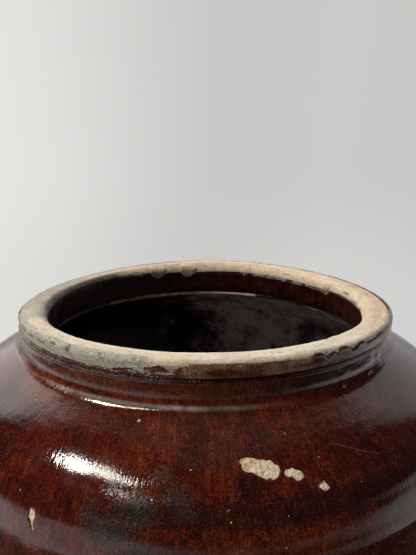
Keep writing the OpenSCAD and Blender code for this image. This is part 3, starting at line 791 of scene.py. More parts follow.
    # Painted shade: the warm tone is weakened on the right side.
    warm = warm * (1 - 0.6 * smooth((az + 74) / 14) * smooth((20 - az) / 40))
    matt = np.maximum(spots(az, drop, r, MATT_MARKS), 0.62 * smooth(lumps(base, 34, 2, seed=15) * 3 - 1.35) * (1 - front))
    band = smooth((6.7 - drop) / 0.5)
    red = spots(az, drop, r, ((-100.2, 3.0, 4.4, 1.6, 1.4), (-95.3, 3.6, 2.0, 1.6, 1.4), (-86.2, 4.0, 6.6, 1.7, 1.2),
                              (-64.6, 3.2, 3.6, 3.4, 1.4), (-56.9, 3.2, 3.8, 3.4, 1.4), (-60.4, 3.2, 1.6, 3.0, 1.3),
                              (-50.6, 3.2, 3.2, 3.4, 1.3)))
    olive = band * np.clip(1.0 - red, 0, 1) * smooth((az + 96.5 + 2.5 * lumps(base, 3, 2, seed=53)) / 2.5) * smooth((-46 - az) / 8)
    olive = olive * np.clip(0.62 + 1.1 * lumps(strokes(az, drop, 1.6, 7, 102), 1, 3, seed=16), 0.12, 1) * (1 - 0.35 * smooth((az + 72) / 8))
    dark = np.maximum(dark, 0.75 * band * smooth((az + 67) / 3) * np.clip(red, 0, 1))
    ash = spots(az, drop, r, (
        (-97.9, 4.75, 4.2, 0.45, 1.1), (-101.6, 2.5, 2.6, 0.4, 0.8), (-146, 12, 14, 4, 0.40), (-155, 8, 10, 4, 0.45),
        (-34, 17.6, 12, 0.9, 0.5), (-57, 18.3, 2.4, 0.7, 0.5),
        (-46, 17.8, 3.0, 0.7, 0.6)))
    # Grey along the fillet on the left: partly dust, partly a painted highlight line.
    crud_and_painted_highlight = np.exp(-((drop - 18.7) / 0.6) ** 2) * smooth((az + 131) / 5) * smooth((-118 - az) / 5)
    ash = np.maximum(ash, crud_and_painted_highlight * np.clip(0.40 + 0.5 * lumps(base, 5, 3, seed=40), 0.05, 0.6))
    # Painted highlight: a pale line along the fillet at the neck's foot, where the lamps shine in it; the spots below
    # add pale smears on the neck.
    smear_and_painted_highlight = np.exp(-((drop - 18.4 - 0.12 * lumps(base, 12, 2, seed=51)) / 0.48) ** 2) * smooth((az + 134) / 8) * smooth((-66 - az) / 38)
    smear_and_painted_highlight = smear_and_painted_highlight * (0.85 - 0.20 * smooth((-103 - az) / 10)) * np.clip(0.75 + 0.5 * lumps(base, 9, 3, seed=40), 0.2, 1)
    smear_and_painted_highlight = np.maximum(smear_and_painted_highlight, 0.35 * np.exp(-((drop - 18.6) / 0.4) ** 2) * smooth((-130 - az) / 8) * smooth((az + 170) / 10))
    smear_and_painted_highlight = np.maximum(smear_and_painted_highlight, spots(az, drop, r, ((-43.5, 11.5, 3.0, 5.0, 0.72), (-39.0, 14.0, 2.2, 5.0, 0.85), (-34, 10.5, 3.5, 3.0, 0.70),
                                                (-142, 12.5, 6, 5, 0.16), (-134, 15.5, 7, 2.0, 0.18)))
                      * np.clip(0.75 + 1.1 * lumps(strokes(az, drop, 3.0, 1.2, 101), 1, 3, seed=52), 0, 1))
    satin = np.maximum(0.8 * smear_and_painted_highlight, np.exp(-((drop - 15.0) / 1.7) ** 2) * (1 - 0.8 * smooth((az + 88) / 16)))
    dusty = groove * smooth((az + 158) / 8) * smooth((-84 - az) / 16)
    ash = np.maximum(ash, dusty * np.clip(0.38 + 0.3 * lumps(base, 9, 3, seed=41), 0, 0.55))
    streaky = band * smooth((az + 112) / 6) * smooth((-96.5 - az) / 4) * np.clip(1 - red, 0, 1)
    ash = np.maximum(ash, streaky * np.clip(0.52 + 0.9 * lumps(strokes(az, drop, 0.7, 6, 102), 1, 2, seed=42), 0, 1))
    rims = smooth((s - top + 0.7) / 0.7)
    ash = np.maximum(ash, 0.40 * rims * (0.6 + 0.8 * lumps(base, 4, 2, seed=17)))
    points, faces, kept = shell(outer, inner, keep_row, keep_col, holes)
    brush = strokes(az + 0.012 * s, s, 8.0, 1.0, 125)
    piece = make_piece(
        "glaze_coat", points, faces, brown_glaze,
        {"dark": both(dark, kept), "warm": both(warm, kept), "matt": both(matt, kept), "olive": both(olive, kept),
         "ash": both(ash, kept), "smear_and_painted_highlight": both(smear_and_painted_highlight, kept), "satin": both(satin, kept)},
        {"brush": both(brush, kept)})
    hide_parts("outer_glaze")


def chip_beds():
    """The rough clay that each chip lays bare, a little proud of the wall under it."""
    for number, chip in enumerate(CHIPS):
        s0, r0 = chip_frame(chip)
        line = np.array(chip[2])
        line = np.concatenate([line + (np.roll(line, -1, axis=0) - line) * t for t in (0.0, 1 / 3, 2 / 3)])
        line = line[np.argsort(np.tile(np.arange(len(chip[2])), 3) * 3 + np.repeat(np.arange(3), len(chip[2])))]
        line = line[::-1]
        middle = line.mean(0)
        shares = np.linspace(0.05, 0.992, 24)
        grid = middle + (line - middle)[None] * shares[:, None, None]
        az = chip[0] + np.degrees(grid[..., 0] / r0)
        s = s0 + grid[..., 1]
        flat = np.concatenate([grid, np.full(grid.shape[:2] + (1,), 5.0 * number)], -1)
        height = 0.60 + 0.42 * lumps(flat, 1.5, 3, seed=18) + 0.34 * lumps(flat, 0.6, 3, seed=19)
        height = np.clip(height, 0.22, 0.95) * (1 - 0.12 * shares[:, None] ** 10)
        def lay(lift):
            cr, cz = on(CLAY, s)
            nr, nz = on(OUT, s)
            return place(az, cr + lift * nr, cz + lift * nz)
        above, below = lay(height), lay(-0.02 + 0 * height)
        n = len(line)
        points = np.concatenate([above.reshape(-1, 3), below[[0, -1]].reshape(-1, 3)])
        ids = np.arange(len(shares) * n).reshape(len(shares), n)
        low = len(shares) * n + np.arange(2 * n).reshape(2, n)
        nxt = np.roll(np.arange(n), -1)
        quads = [np.stack([ids[i], ids[i][nxt], ids[i + 1][nxt], ids[i + 1]], -1) for i in range(len(shares) - 1)]
        quads.append(np.stack([ids[-1], ids[-1][nxt], low[1][nxt], low[1]], -1))
        quads.append(np.stack([low[1], low[1][nxt], low[0][nxt], low[0]], -1))
        caps = [list(ids[0][::-1]), list(low[0])]
        piece = make_piece("chip_bed_%d" % (number + 1), points, [np.concatenate(quads), caps], wall_clay)


# The rim

def fold_edge(azimuth):
    """The lowest height that the clay folds reach inside the mouth, or 300 where there is none."""
    low = np.full_like(azimuth, 300.0)
    for centre, half, bottom in CLAY_FOLDS:
        x = turn(azimuth, centre) / half
        low = np.minimum(low, np.where(np.abs(x) < 1, bottom + (295.5 - bottom) * x * x, 300.0))
    return low


def bore_face(z):
    """Radius of the clay inside the mouth at a height, and the direction out of it."""
    rise = np.clip((z - JAR_H + ROUND_IN) / ROUND_IN, 0, 0.995)
    level = np.sqrt(1 - rise ** 2)
    return CLAY_BORE_R + ROUND_IN * (1 - level), -level, rise


def rim_section():
    """The rim's section from its joint outside, up, over the top and down to its joint inside."""
    side = np.arange(294.6, 297.75, 0.32)
    a = np.radians(np.linspace(0, 90, 13)[1:])
    flat = np.arange(98.6, CLAY_BORE_R + ROUND_IN + 0.1, -0.45)
    b = np.radians(np.linspace(90, 180, 27))
    bore = np.arange(JAR_H - ROUND_IN - 0.3, 290.2, -0.33)
    section = np.concatenate([
        [[99.6, 292.8], [100.2, 293.2], [100.2, 294.0], [100.7, 294.02], [101.2, 294.5]],
        np.stack([np.full_like(side, CLAY_RIM_R), side], -1), [[CLAY_RIM_R, JAR_H - ROUND_OUT]],
        np.stack([CLAY_RIM_R - ROUND_OUT + ROUND_OUT * np.cos(a), JAR_H - ROUND_OUT + ROUND_OUT * np.sin(a)], -1),
        np.stack([flat, np.full_like(flat, JAR_H)], -1),
        np.stack([CLAY_BORE_R + ROUND_IN + ROUND_IN * np.cos(b), JAR_H - ROUND_IN + ROUND_IN * np.sin(b)], -1),
        np.stack([np.full_like(bore, CLAY_BORE_R), bore], -1), [[CLAY_BORE_R, 290.03]]])
    along = np.concatenate([[0], np.cumsum(np.linalg.norm(np.diff(section, axis=0), axis=1))])
    return section, along - along[5 + len(side)]


def rim_piece():
    cols = steps((-180, -170, 0.5), (-170, -10, 0.3), (-10, 180, 0.45))
    section, along = rim_section()
    r0, z0, q = section[:, 0][:, None], section[:, 1][:, None], along[:, None]
    az = np.repeat(cols[None], len(section), 0)
    outward, inward, up = rim_sway(az)
    # On the far left the top runs on to a sharper inner edge
    full = smooth((az % 360 - 128) / 16) * smooth((206 - az % 360) / 20)
    sharp = 2.0
    u = (q - along[np.argmin(np.abs(section[:, 0] - CLAY_BORE_R - ROUND_IN) + 9 * (section[:, 1] < JAR_H - 0.01))]) / (
        ROUND_IN * math.pi / 2) * (2 * (ROUND_IN - sharp) + sharp * math.pi / 2)
    bend = np.clip((u - ROUND_IN + sharp) / sharp, 0, math.pi / 2)
    on_round = (u > 0) & (u < 2 * (ROUND_IN - sharp) + sharp * math.pi / 2)
    sharp_r = CLAY_BORE_R + sharp - np.minimum(u - ROUND_IN + sharp, 0) - sharp * np.sin(bend)
    sharp_z = JAR_H - sharp + sharp * np.cos(bend) - np.maximum(u - ROUND_IN + sharp - sharp * math.pi / 2, 0)
    r0 = r0 + full * on_round * (sharp_r - r0)
    z0 = z0 + full * on_round * (sharp_z - z0)
    mouth_side = smooth((97.5 - r0) / 7)
    high = smooth((z0 - 290.5) / 4)
    r = r0 + (outward * (1 - mouth_side) + inward * mouth_side) * high
    z = z0 + up * smooth((z0 - 286.5) / 8)
    base = place(az, r, z)
    # The rim is flattened by wiping, dented, and worn along both of its edges
    top = smooth((q - 1.2) / 2.5) * smooth((15 - q) / 4)
    z = z + top * (0.10 * lumps(strokes(az, q, 1.2, 24, 95), 1, 2, seed=20) + 0.17 * lumps(base, 6, 3, seed=21))
    dent = smooth(lumps(base, 3.0, 2, seed=22) * 2.4 - 0.75)
    z = z - top * 0.32 * dent
    edge = np.exp(-((q - 1.7) / 1.6) ** 2)
    sides = np.maximum(smooth((az + 30) / 20) * smooth((40 - az) / 20), smooth((np.abs(az) - 140) / 20))
    worn = edge * (0.55 * smooth(lumps(base, 4.5, 2, seed=23) * 2.2 - 0.45) + 0.85 * sides)
    r = r - 0.75 * worn
    z = z - 0.50 * worn
    inner_edge = np.exp(-((q - 13.5) / 2.2) ** 2)
    worn = inner_edge * smooth(lumps(base, 5.5, 2, seed=24) * 2.0 - 0.4)
    r = r + worn * 0.5
    z = z - worn * 0.35
    for centre, at, half_w, half_q, deep in (
            (-154, 13.5, 1.3, 1.5, 1.2), (-62.1, 1.2, 0.9, 0.8, 0.6), (-79.9, 0.9, 0.6, 0.6, 0.45),
            (-75.1, 0.9, 0.7, 0.7, 0.5), (-57.1, 1.0, 0.6, 0.6, 0.45), (-122.1, 1.6, 1.3, 1.6, 0.35),
            (-126.6, 1.2, 1.6, 0.9, 0.3), (17, 4.0, 1.6, 0.7, 0.5), (48, 5.0, 1.0, 0.6, 0.4)):
        z = z - deep * spots(az, q, 97.0, ((centre, at, half_w, half_q, 1.0),))
    # Folds of clay that hang over the glaze of the mouth
    fold, hollow = 0 * az, 0 * az
    for centre, half, bottom in CLAY_FOLDS:
        x = turn(az, centre) / half + 0.16 * lumps(base, 3.0, 2, seed=43)
        y = np.clip((297.2 - z0) / (297.2 - bottom), 0, None) + 0.10 * lumps(base, 2.0, 2, seed=44)
        rho = x ** 2 + y ** 2
        hollow = np.maximum(hollow, smooth((0.92 - rho) / 0.25) * smooth((y - 0.15) / 0.3))
        fold = np.maximum(fold, np.sqrt(np.clip(1 - rho ** 3, 0, 1)) * (0.62 + 0.38 * np.clip(rho, 0, 1)))
    fold = 1.15 * fold * smooth((299.2 - z0) / 2.6) * (q > 8.4)
    _, nr, nz = bore_face(z0)
    r = r + fold * nr - 1.1 * np.exp(-(turn(az, -14) / 13) ** 2) * smooth((z0 - 293.2) / 2.5) * smooth((q - 6.5) / 3)
    z = z + fold * nz
    left = np.maximum(smooth((-140 - az) / 14), smooth((az - 118) / 26))
    grey = np.maximum.reduce([
        left * (0.40 + 0.75 * lumps(base, 9, 3, seed=25)),
        0.95 * smooth((-97 - az) / 9) * smooth((az + 164) / 12) * smooth((5.6 - q + 2.4 * lumps(base, 8, 3, seed=45)) / 2.6),
        smooth((0.9 - q) / 0.9) * (0.70 + 0.5 * lumps(base, 6, 3, seed=26))])
    near = smooth((az + 150) / 26) * smooth((-40 - az) / 26)
    # Darker on the left side, and painted shade in the hollows of the folds.
    dusky_and_painted_shade = np.maximum(smooth((np.abs(az) - 142) / 22) * (0.95 + 0.6 * lumps(base, 12, 3, seed=56)), 0.8 * hollow)
    # Painted shade on the far left top, darker so that it reads as evenly lit as the inner rounding below it.
    dusky_and_painted_shade = np.maximum(dusky_and_painted_shade, 0.9 * smooth((az - 92) / 14) * smooth((168 - az) / 20) * smooth((10.5 - q) / 3.5))
    pale = near * np.clip(0.95 * smooth((q - 6.4) / 2.6) + 0.25, 0, 1)
    pale = np.maximum(pale, 0.75 * smooth((az + 98) / 12) * smooth((-30 - az) / 20) * smooth((q - 0.4) / 1.2))
    # Painted light: the far side of the rim is painted lighter, for the light and sheen it catches.
    far = smooth((az - 8) / 24) * smooth((158 - az) / 24) * np.clip(0.85 + 0.5 * lumps(base, 10, 3, seed=55), 0.3, 1)
    peach = np.maximum(near * 0.9 * np.exp(-((q - 5.2) / 1.5) ** 2) * (0.65 + 0.8 * lumps(base, 14, 2, seed=46)),
                       (1 - near) * (1 - left) * (0.30 + 0.5 * lumps(base, 16, 3, seed=47)))
    brown = spots(az, q, 97.0, ((-122.1, 1.5, 1.5, 2.0, 1.3), (-127.4, 1.3, 2.4, 0.8, 0.9), (-131, 1.0, 1.6, 0.7, 0.7),
                                (-112.5, 2.2, 2.2, 0.7, 0.55), (-154, 13.2, 1.5, 1.7, 1.2), (-57, 0.9, 0.6, 0.6, 0.8),
                                (-62.1, 1.2, 0.9, 0.5, 1.1), (17, 4.0, 2.2, 0.5, 0.8)))
    rust = np.exp(-((q + 0.1) / 0.55) ** 2) * smooth((-118 - az) / 10) * (0.62 + 0.8 * lumps(base, 5, 3, seed=27))
    below = smooth((-2.6 - q) / 0.5) * smooth((-106 - az) / 8) * (0.62 + 0.6 * lumps(base, 7, 3, seed=48))
    fray = np.exp(-((q - 14.8) / 0.8) ** 2) * smooth(az / 8) * (0.25 + 1.0 * lumps(base, 6, 3, seed=28))
    wear = 0.55 * smooth((az + 45) / 16) * smooth((46 - az) / 20) * smooth((7 - q) / 3) \
        * smooth(lumps(strokes(az, q, 5, 0.8, 97), 1, 2, seed=49) * 3 - 0.9)
    # Painted shade round the lower edges of the folds, added to the stains.
    under_fold = (fold > 0.05) * (fold < 0.7) * smooth((296 - z0) / 1.0) * 0.4
    stain_and_painted_shade = np.clip(np.maximum.reduce([brown, rust, below, fray, wear, under_fold]), 0, 1)
    scum = smooth((-98 - az) / 7) * smooth((az + 158) / 8) * smooth((4.8 - q) / 1.6) * (0.62 + 0.8 * lumps(base, 6, 3, seed=29))
    scum = np.clip(np.maximum(scum, spots(az, q, 97.0, ((-151, 9.0, 7, 3.0, 0.8), (-152, 3.5, 4, 1.5, 0.6)))), 0, 1)
    piece = make_piece(
        "wiped_rim", place(az, r, z).reshape(-1, 3), loop_faces(len(section), len(cols)), rim_clay,
        {"grey": np.clip(grey, 0, 1).ravel(), "pale": pale.ravel(), "peach": np.clip(peach, 0, 1).ravel(),
         "stain_and_painted_shade": stain_and_painted_shade.ravel(), "scum": scum.ravel(), "far": far.ravel(), "dusky_and_painted_shade": np.clip(dusky_and_painted_shade, 0, 1).ravel()},
        {"wipe": strokes(az, q, 0.5, 8, 95).reshape(-1, 3)})
    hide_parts("rim_ring")


# The coat inside the mouth and the coil under it

def mouth_coat():
    cols = steps((-180, -8, 1.0), (-8, 180, 0.4))
    edge = by_direction(cols, MOUTH_EDGE) + 0.28 * lumps(place(cols, 88.0, 0.0), 4.0, 3, seed=30)
    edge = np.minimum(edge, fold_edge(cols) + 0.5)
    k = np.linspace(0, 1, 32)[:, None] ** 1.25
    z_wall = edge - (edge - THROAT_Z) * k
    a = np.linspace(math.pi, THROAT_END_A, 9)[1:, None]
    az = np.repeat(cols[None], len(z_wall) + len(a), 0)
    r_wall, nr, nz = bore_face(z_wall)
    r_clay = np.concatenate([r_wall, THROAT_R + THROAT_ROUND * np.cos(a) + 0 * cols])
    z_clay = np.concatenate([z_wall, THROAT_Z + THROAT_ROUND * np.sin(a) + 0 * cols])
    nr = np.concatenate([nr, np.cos(a) + 0 * cols])
    nz = np.concatenate([nz, np.sin(a) + 0 * cols])
    base = place(az, r_clay, z_clay)
    thick = LINER_T * np.sqrt(np.clip((edge - z_clay) / 1.0, 0, 1)) * 0.92 + 0.05 + 0.10 * lumps(base, 9, 3, seed=31)
    thick = np.clip(thick, 0.04, 0.95)
    _, inward, up = rim_sway(az)
    def settle(depth):
        r, z = r_clay + nr * depth, z_clay + nz * depth
        return place(az, r + inward * smooth((z - 290.5) / 4), z + up * smooth((z - 286.5) / 8))
    outer, inner = settle(thick), settle(0 * thick)
    keep_row = np.zeros(len(az), bool)
    keep_row[::4] = True
    keep_row[-1] = True
    keep_col = np.zeros(len(cols), bool)
    keep_col[::3] = True
    points, faces, kept = shell(outer, inner, keep_row, keep_col, np.zeros((len(az) - 1, len(cols)), bool))
    # Painted shade on the mouth's left side, far and near, where no lamp reaches.
    left_painted_shade = np.maximum(smooth((az - 104) / 26), smooth((-150 - az) / 10)) * (0.8 + 0.4 * lumps(base, 12, 3, seed=32))
    under = smooth((z_clay - edge + 3.0 + 0.9 * lumps(base, 7, 2, seed=54)) / 1.8)
    ash = under * np.maximum.reduce([
        1.0 * smooth((az - 26) / 6) * smooth((76 - az) / 10), 0.75 * smooth((az - 118) / 5) * smooth((142 - az) / 6),
        1.0 * smooth((az - 19) / 1.5) * smooth((33 - az) / 2), 0.08 + 0 * az])
    ash = ash * (0.75 + 0.8 * lumps(base, 6, 3, seed=33))
    low = smooth((az - 88) / 4) * smooth((135 - az) / 10) * smooth((280.5 - z_clay) / 2)
    ash = np.maximum(ash, 0.5 * low * (0.6 + lumps(base, 6, 3, seed=34)))
    left = smooth((az - 136) / 10) * smooth((z_clay - edge + 9) / 6)
    ash = np.clip(np.maximum(ash, 0.30 * left * (0.6 + 1.2 * lumps(base, 8, 3, seed=50))), 0, 1)
    piece = make_piece("mouth_coat", points, faces, mouth_glaze, {"left_painted_shade": both(left_painted_shade, kept), "ash": both(ash, kept)})
    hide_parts("neck_glaze")


def throat_coil():
    cols = steps((-180, 0, 1.5), (0, 180, 0.5))
    a = LUTE_A + LUTE_SWEEP * np.linspace(1, -1, 13)
    az = np.repeat(cols[None], len(a), 0)
    ring = place(az, 89.0, 277.0)
    fat = 1.0 + 0.30 * lumps(ring, 13, 3, seed=35) - 0.45 * smooth((66 - az) / 18) * smooth((az + 60) / 40)
    fat = np.clip(fat, 0.35, 1.25)
    shift = 0.35 * lumps(ring, 22, 2, seed=36)
    back = np.cos(LUTE_SWEEP)
    reach = np.cos(a - LUTE_A)[:, None]
    out = back + (reach - back) * fat
    slide = np.sin(a - LUTE_A)[:, None]
    r = LUTE_R + LUTE_ROUND * (out * math.cos(LUTE_A) - slide * math.sin(LUTE_A)) + 0.08 * lumps(place(az, 89.0, 277 + 3 * slide), 2.4, 2, seed=37)
    z = LUTE_Z + LUTE_ROUND * (out * math.sin(LUTE_A) + slide * math.cos(LUTE_A)) + shift * (1 - np.abs(slide)) * 0.8
    cover = np.maximum(smooth((az - 134) / 16), smooth((68 - az) / 9))
    cover = np.maximum(cover, smooth((-az) / 5))
    cover = np.clip(cover - 0.25 * smooth(lumps(ring, 3.0, 2, seed=38) * 3 - 1.1), 0, 1)
    cover = np.maximum(cover, 0.35 * smooth((az - 118) / 10))
    piece = make_piece("throat_coil", place(az, r, z).reshape(-1, 3), loop_faces(len(a), len(cols)), lute_clay,
                       {"cover": cover.ravel()})
    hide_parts("neck_lute")


# Specks and scratches on the coat

def coat_point(azimuth, drop):
    """A point of the coat's outer face and the direction out of it."""
    s = at_height(JAR_H - np.asarray(drop, float))
    azimuth = np.asarray(azimuth, float)
    top, foot = S_SIDE + 9 + 0 * s, S_FLOOR - 9 + 0 * s
    nr, nz = on(OUT, s)
    return coat_surface(azimuth, s, top, foot, 0.0), place(azimuth, nr, nz)


def specks():
    """Grains of sand and burst bubbles that stand in the glaze."""
    random = np.random.default_rng(5)
    known = [(-102.3, 21.6, 0.75), (-75.3, 24.4, 0.30), (-71.1, 29.6, 0.32), (-66.0, 36.0, 0.25), (-86.5, 36.8, 0.3),
             (-86.3, 39.3, 0.36), (-79.3, 46.6, 0.3), (-117.7, 39.8, 0.36), (-91.9, 29.7, 0.3), (-127.6, 23.1, 0.34),
             (-58.2, 27.1, 0.22), (-78.5, 39.2, 0.22), (-97.1, 35.3, 0.5), (-104.1, 34.6, 0.25)]
    loose = [(a, d, w) for a, d, w in zip(random.uniform(-50, 230, 70), random.uniform(20, 250, 70), random.uniform(0.18, 0.42, 70))]
    points, faces = [], []
    count = 0
    for azimuth, drop, size in known + loose:
        size = 0.8 * size
        centre, out = coat_point(azimuth, drop)
        side = np.cross(out, (0, 0, 1))
        side = side / np.linalg.norm(side)
        up = np.cross(side, out)
        n = 9
        turns = np.linspace(0, 2 * math.pi, n, endpoint=False)
        wide = size * random.uniform(0.75, 1.25, n)
        rings = []
        for share, high in ((1.0, -0.12), (0.9, 0.10), (0.55, 0.30)):
            rings.append(centre + out * high * size
                         + side * (np.cos(turns) * wide * share)[:, None] + up * (np.sin(turns) * wide * share)[:, None])
        ids = count + np.arange(3 * n).reshape(3, n)
        nxt = np.roll(np.arange(n), -1)
        for i in range(2):
            for k in range(n):
                faces.append([ids[i][k], ids[i][nxt[k]], ids[i + 1][nxt[k]], ids[i + 1][k]])
        faces.append([int(v) for v in ids[2]])
        faces.append([int(v) for v in ids[0][::-1]])
        points.extend(rings)
        count += 3 * n
    points = np.concatenate(points)
    piece = make_piece("glaze_specks", points, [[[int(v) for v in f] for f in faces]], speck_clay)


def scratches():
    """Fine scratches, as low ridges of torn glaze along short paths."""
    paths = (
        ((-68.8, 28.0), (-68.0, 27.9), (-67.2, 28.0), (-66.2, 28.6), (-64.8, 29.6), (-62.9, 30.8), (-59.9, 32.5)),
        ((-62.8, 51.9), (-61.8, 52.2)), ((-62.3, 54.9), (-61.0, 56.1), (-60.0, 54.8)),
        ((-137.7, 22.9), (-137.4, 21.2), (-137.3, 19.4)), ((-128.9, 25.0), (-128.2, 23.4), (-127.6, 21.5)),
        ((-56.2, 23.5), (-55.0, 24.9), (-54.6, 26.0)),
        ((30, 40), (36, 44), (41, 52)), ((95, 33), (99, 36)), ((140, 70), (143, 78), (144, 90)),
    )
    points, faces, count = [], [], 0
    for path in paths:
        path = np.array(path)
        t = np.linspace(0, len(path) - 1, 10 * (len(path) - 1) + 1)
        az = np.interp(t, np.arange(len(path)), path[:, 0])
        drop = np.interp(t, np.arange(len(path)), path[:, 1])
        centre, out = coat_point(az, drop)
        ahead = np.gradient(centre, axis=0)
        ahead /= np.linalg.norm(ahead, axis=1)[:, None]
        side = np.cross(ahead, out)
        share = np.linspace(0, 1, len(t))
        width = 0.13 * (0.35 + 0.9 * np.abs(np.sin(9 * share + az[0])))[:, None] * np.sqrt(np.sin(np.pi * (0.04 + 0.92 * share)))[:, None]
        rings = np.stack([centre - side * width - out * 0.05, centre + side * width - out * 0.05, centre + side * width * 0.5 + out * 0.035,
                          centre - side * width * 0.5 + out * 0.035], 1)
        ids = count + np.arange(4 * len(t)).reshape(len(t), 4)
        for i in range(len(t) - 1):
            for k in range(4):
                m = (k + 1) % 4
                faces.append([int(ids[i][k]), int(ids[i][m]), int(ids[i + 1][m]), int(ids[i + 1][k])])
        faces.append([int(v) for v in ids[0][::-1]])
        faces.append([int(v) for v in ids[-1]])
        points.append(rings.reshape(-1, 3))
        count += 4 * len(t)
    piece = make_piece("glaze_scratches", np.concatenate(points), [faces], scratch_mark)


outer_coat()
chip_beds()
rim_piece()
mouth_coat()
throat_coil()
specks()
scratches()


# The room: floor, world, lamps and camera

BACKDROP = ((0.0, 0.80), (0.17, 0.745), (0.36, 0.64), (0.50, 0.58), (0.62, 0.572), (0.78, 0.585), (0.92, 0.570), (1.0, 0.55))
# What the glaze mirrors: the pale wall on the left and on the right by height, the strip over the floor by side, and the
# floor in front near the jar and far from it by side
WALL_LEFT = ((0.0, 1.2), (0.20, 1.35), (0.42, 1.70), (0.48, 2.20), (0.54, 2.05), (0.60, 1.95), (0.67, 2.80), (0.73, 2.10),
             (0.80, 1.25), (0.87, 0.85), (0.91, 0.45), (0.95, 0.24), (1.0, 0.12))
WALL_RIGHT = ((0.0, 0.60), (0.30, 0.65), (0.45, 0.66), (0.60, 0.80), (0.70, 0.95), (0.76, 0.80), (0.82, 0.60), (0.88, 0.42),
              (0.95, 0.18), (1.0, 0.10))
LOW_TOP = ((0.0, 0.02), (0.04, 0.05), (0.125, 0.14), (0.24, 0.18), (0.40, 0.10), (0.65, 0.07), (1.0, 0.08))
LOW_TONE = ((0.0, 0.90), (0.13, 0.75), (0.24, 1.10), (0.33, 0.70), (0.42, 0.35), (0.50, 0.20), (0.75, 0.20), (0.90, 0.24),
            (0.95, 0.60), (1.0, 0.80))
NEAR_TONE = ((0.0, 0.16), (0.08, 0.14), (0.19, 0.10), (0.38, 0.08), (0.72, 0.07), (0.89, 0.03), (0.95, 0.05), (1.0, 0.12))
FAR_TONE = ((0.0, 1.40), (0.05, 1.35), (0.08, 1.20), (0.13, 1.05), (0.24, 1.05), (0.31, 0.75), (0.38, 0.42), (0.46, 0.20),
            (0.60, 0.10), (0.80, 0.15), (0.87, 0.26), (0.91, 0.40), (0.95, 0.90), (1.0, 1.00))


def backdrop_tone(tree, direction):
    """The plain wall's tone by direction: lighter on the left, and on the right a little lighter towards the floor."""
    parts = tree.nodes.new("ShaderNodeSeparateXYZ")
    tree.links.new(direction, parts.inputs["Vector"])
    wall = ramp(tree, sums(tree, "ADD", parts.outputs["X"], 0.5), [(p, (v, v, v * 0.975)) for p, v in BACKDROP])
    down = spread(tree, parts.outputs["Z"], 0.06, -0.24)
    change = sums(tree, "MULTIPLY", down, spread(tree, parts.outputs["X"], -0.30, 0.36, -0.055, 0.115))
    return mix(tree, 1.0, wall, sums(tree, "ADD", change, 1.0), "MULTIPLY"), parts


def half_up(tree, value):
    """Moves -1..1 to 0..1."""
    return sums(tree, "ADD", sums(tree, "MULTIPLY", value, 0.5), 0.5)


def by_share(tree, share, table):
    """A grey value from a table of (share, value)."""
    return ramp(tree, share, [(place_, (value, value, value)) for place_, value in table])


def floor_piece():
    """A wide floor that fades into the backdrop far from the jar."""
    rings = (0.0, 0.12, 0.3, 0.6, 1.0, 2.0, 4.0, 9.0)
    n = 48
    turns = np.linspace(0, 2 * math.pi, n, endpoint=False)
    points = [(0.0, 0.0, 0.0)] + [(r * math.cos(t), r * math.sin(t), 0.0) for r in rings[1:] for t in turns]
    faces = [(0, 1 + k, 1 + (k + 1) % n) for k in range(n)]
    for i in range(len(rings) - 2):
        a, b = 1 + i * n, 1 + (i + 1) * n
        faces += [(a + k, b + k, b + (k + 1) % n, a + (k + 1) % n) for k in range(n)]
    mesh = bpy.data.meshes.new("floor")
    mesh.from_pydata(points, [], faces)
    material, tree, shader = new_material("floor_paint")
    shader.inputs["Roughness"].default_value = 0.9
    path = tree.nodes.new("ShaderNodeLightPath").outputs
    spot = tree.nodes.new("ShaderNodeTexCoord").outputs["Object"]
    depth = tree.nodes.new("ShaderNodeSeparateXYZ")
    tree.links.new(spot, depth.inputs["Vector"])
    # The glaze mirrors a dim floor in front of the jar, as it does where the photographer stands
    dim = sums(tree, "MULTIPLY", spread(tree, depth.outputs["Y"], 0.55, 0.20), path["Is Glossy Ray"])
    flat = tree.nodes.new("ShaderNodeVectorMath")
    flat.operation = "NORMALIZE"
    tree.links.new(spot, flat.inputs[0])
    side = tree.nodes.new("ShaderNodeSeparateXYZ")
    tree.links.new(flat.outputs["Vector"], side.inputs["Vector"])
    share = half_up(tree, side.outputs["X"])
    length = tree.nodes.new("ShaderNodeVectorMath")
    length.operation = "LENGTH"
    tree.links.new(spot, length.inputs[0])
    shade = mix(tree, 1.0, (0.74, 0.74, 0.725), by_share(tree, share, NEAR_TONE), "MULTIPLY")
    tree.links.new(mix(tree, dim, (0.74, 0.74, 0.725), shade), shader.inputs["Base Color"])
    away = tree.nodes.new("ShaderNodeVectorMath")
    away.operation = "SUBTRACT"
    tree.links.new(spot, away.inputs[0])
    away.inputs[1].default_value = RIM_TOP + CAMERA_FROM_RIM
    unit = tree.nodes.new("ShaderNodeVectorMath")
    unit.operation = "NORMALIZE"
    tree.links.new(away.outputs["Vector"], unit.inputs[0])
    tone, _ = backdrop_tone(tree, unit.outputs["Vector"])
    glow = tree.nodes.new("ShaderNodeEmission")
    tree.links.new(mix(tree, path["Is Camera Ray"], by_share(tree, share, FAR_TONE), tone), glow.inputs["Color"])
    far = spread(tree, length.outputs["Value"], 0.45, 0.95)
    blend = tree.nodes.new("ShaderNodeMixShader")
    mirrored = sums(tree, "MULTIPLY", spread(tree, length.outputs["Value"], 0.78, 0.85), dim)
    tree.links.new(sums(tree, "MAXIMUM", sums(tree, "MULTIPLY", far, path["Is Camera Ray"]), mirrored), blend.inputs["Fac"])
    tree.links.new(shader.outputs["BSDF"], blend.inputs[1])
    tree.links.new(glow.outputs["Emission"], blend.inputs[2])
    output = next(n for n in tree.nodes if n.type == "OUTPUT_MATERIAL")
    tree.links.new(blend.outputs["Shader"], output.inputs["Surface"])
    mesh.materials.append(material)
    floor = bpy.data.objects.new("floor", mesh)
    bpy.context.scene.collection.objects.link(floor)


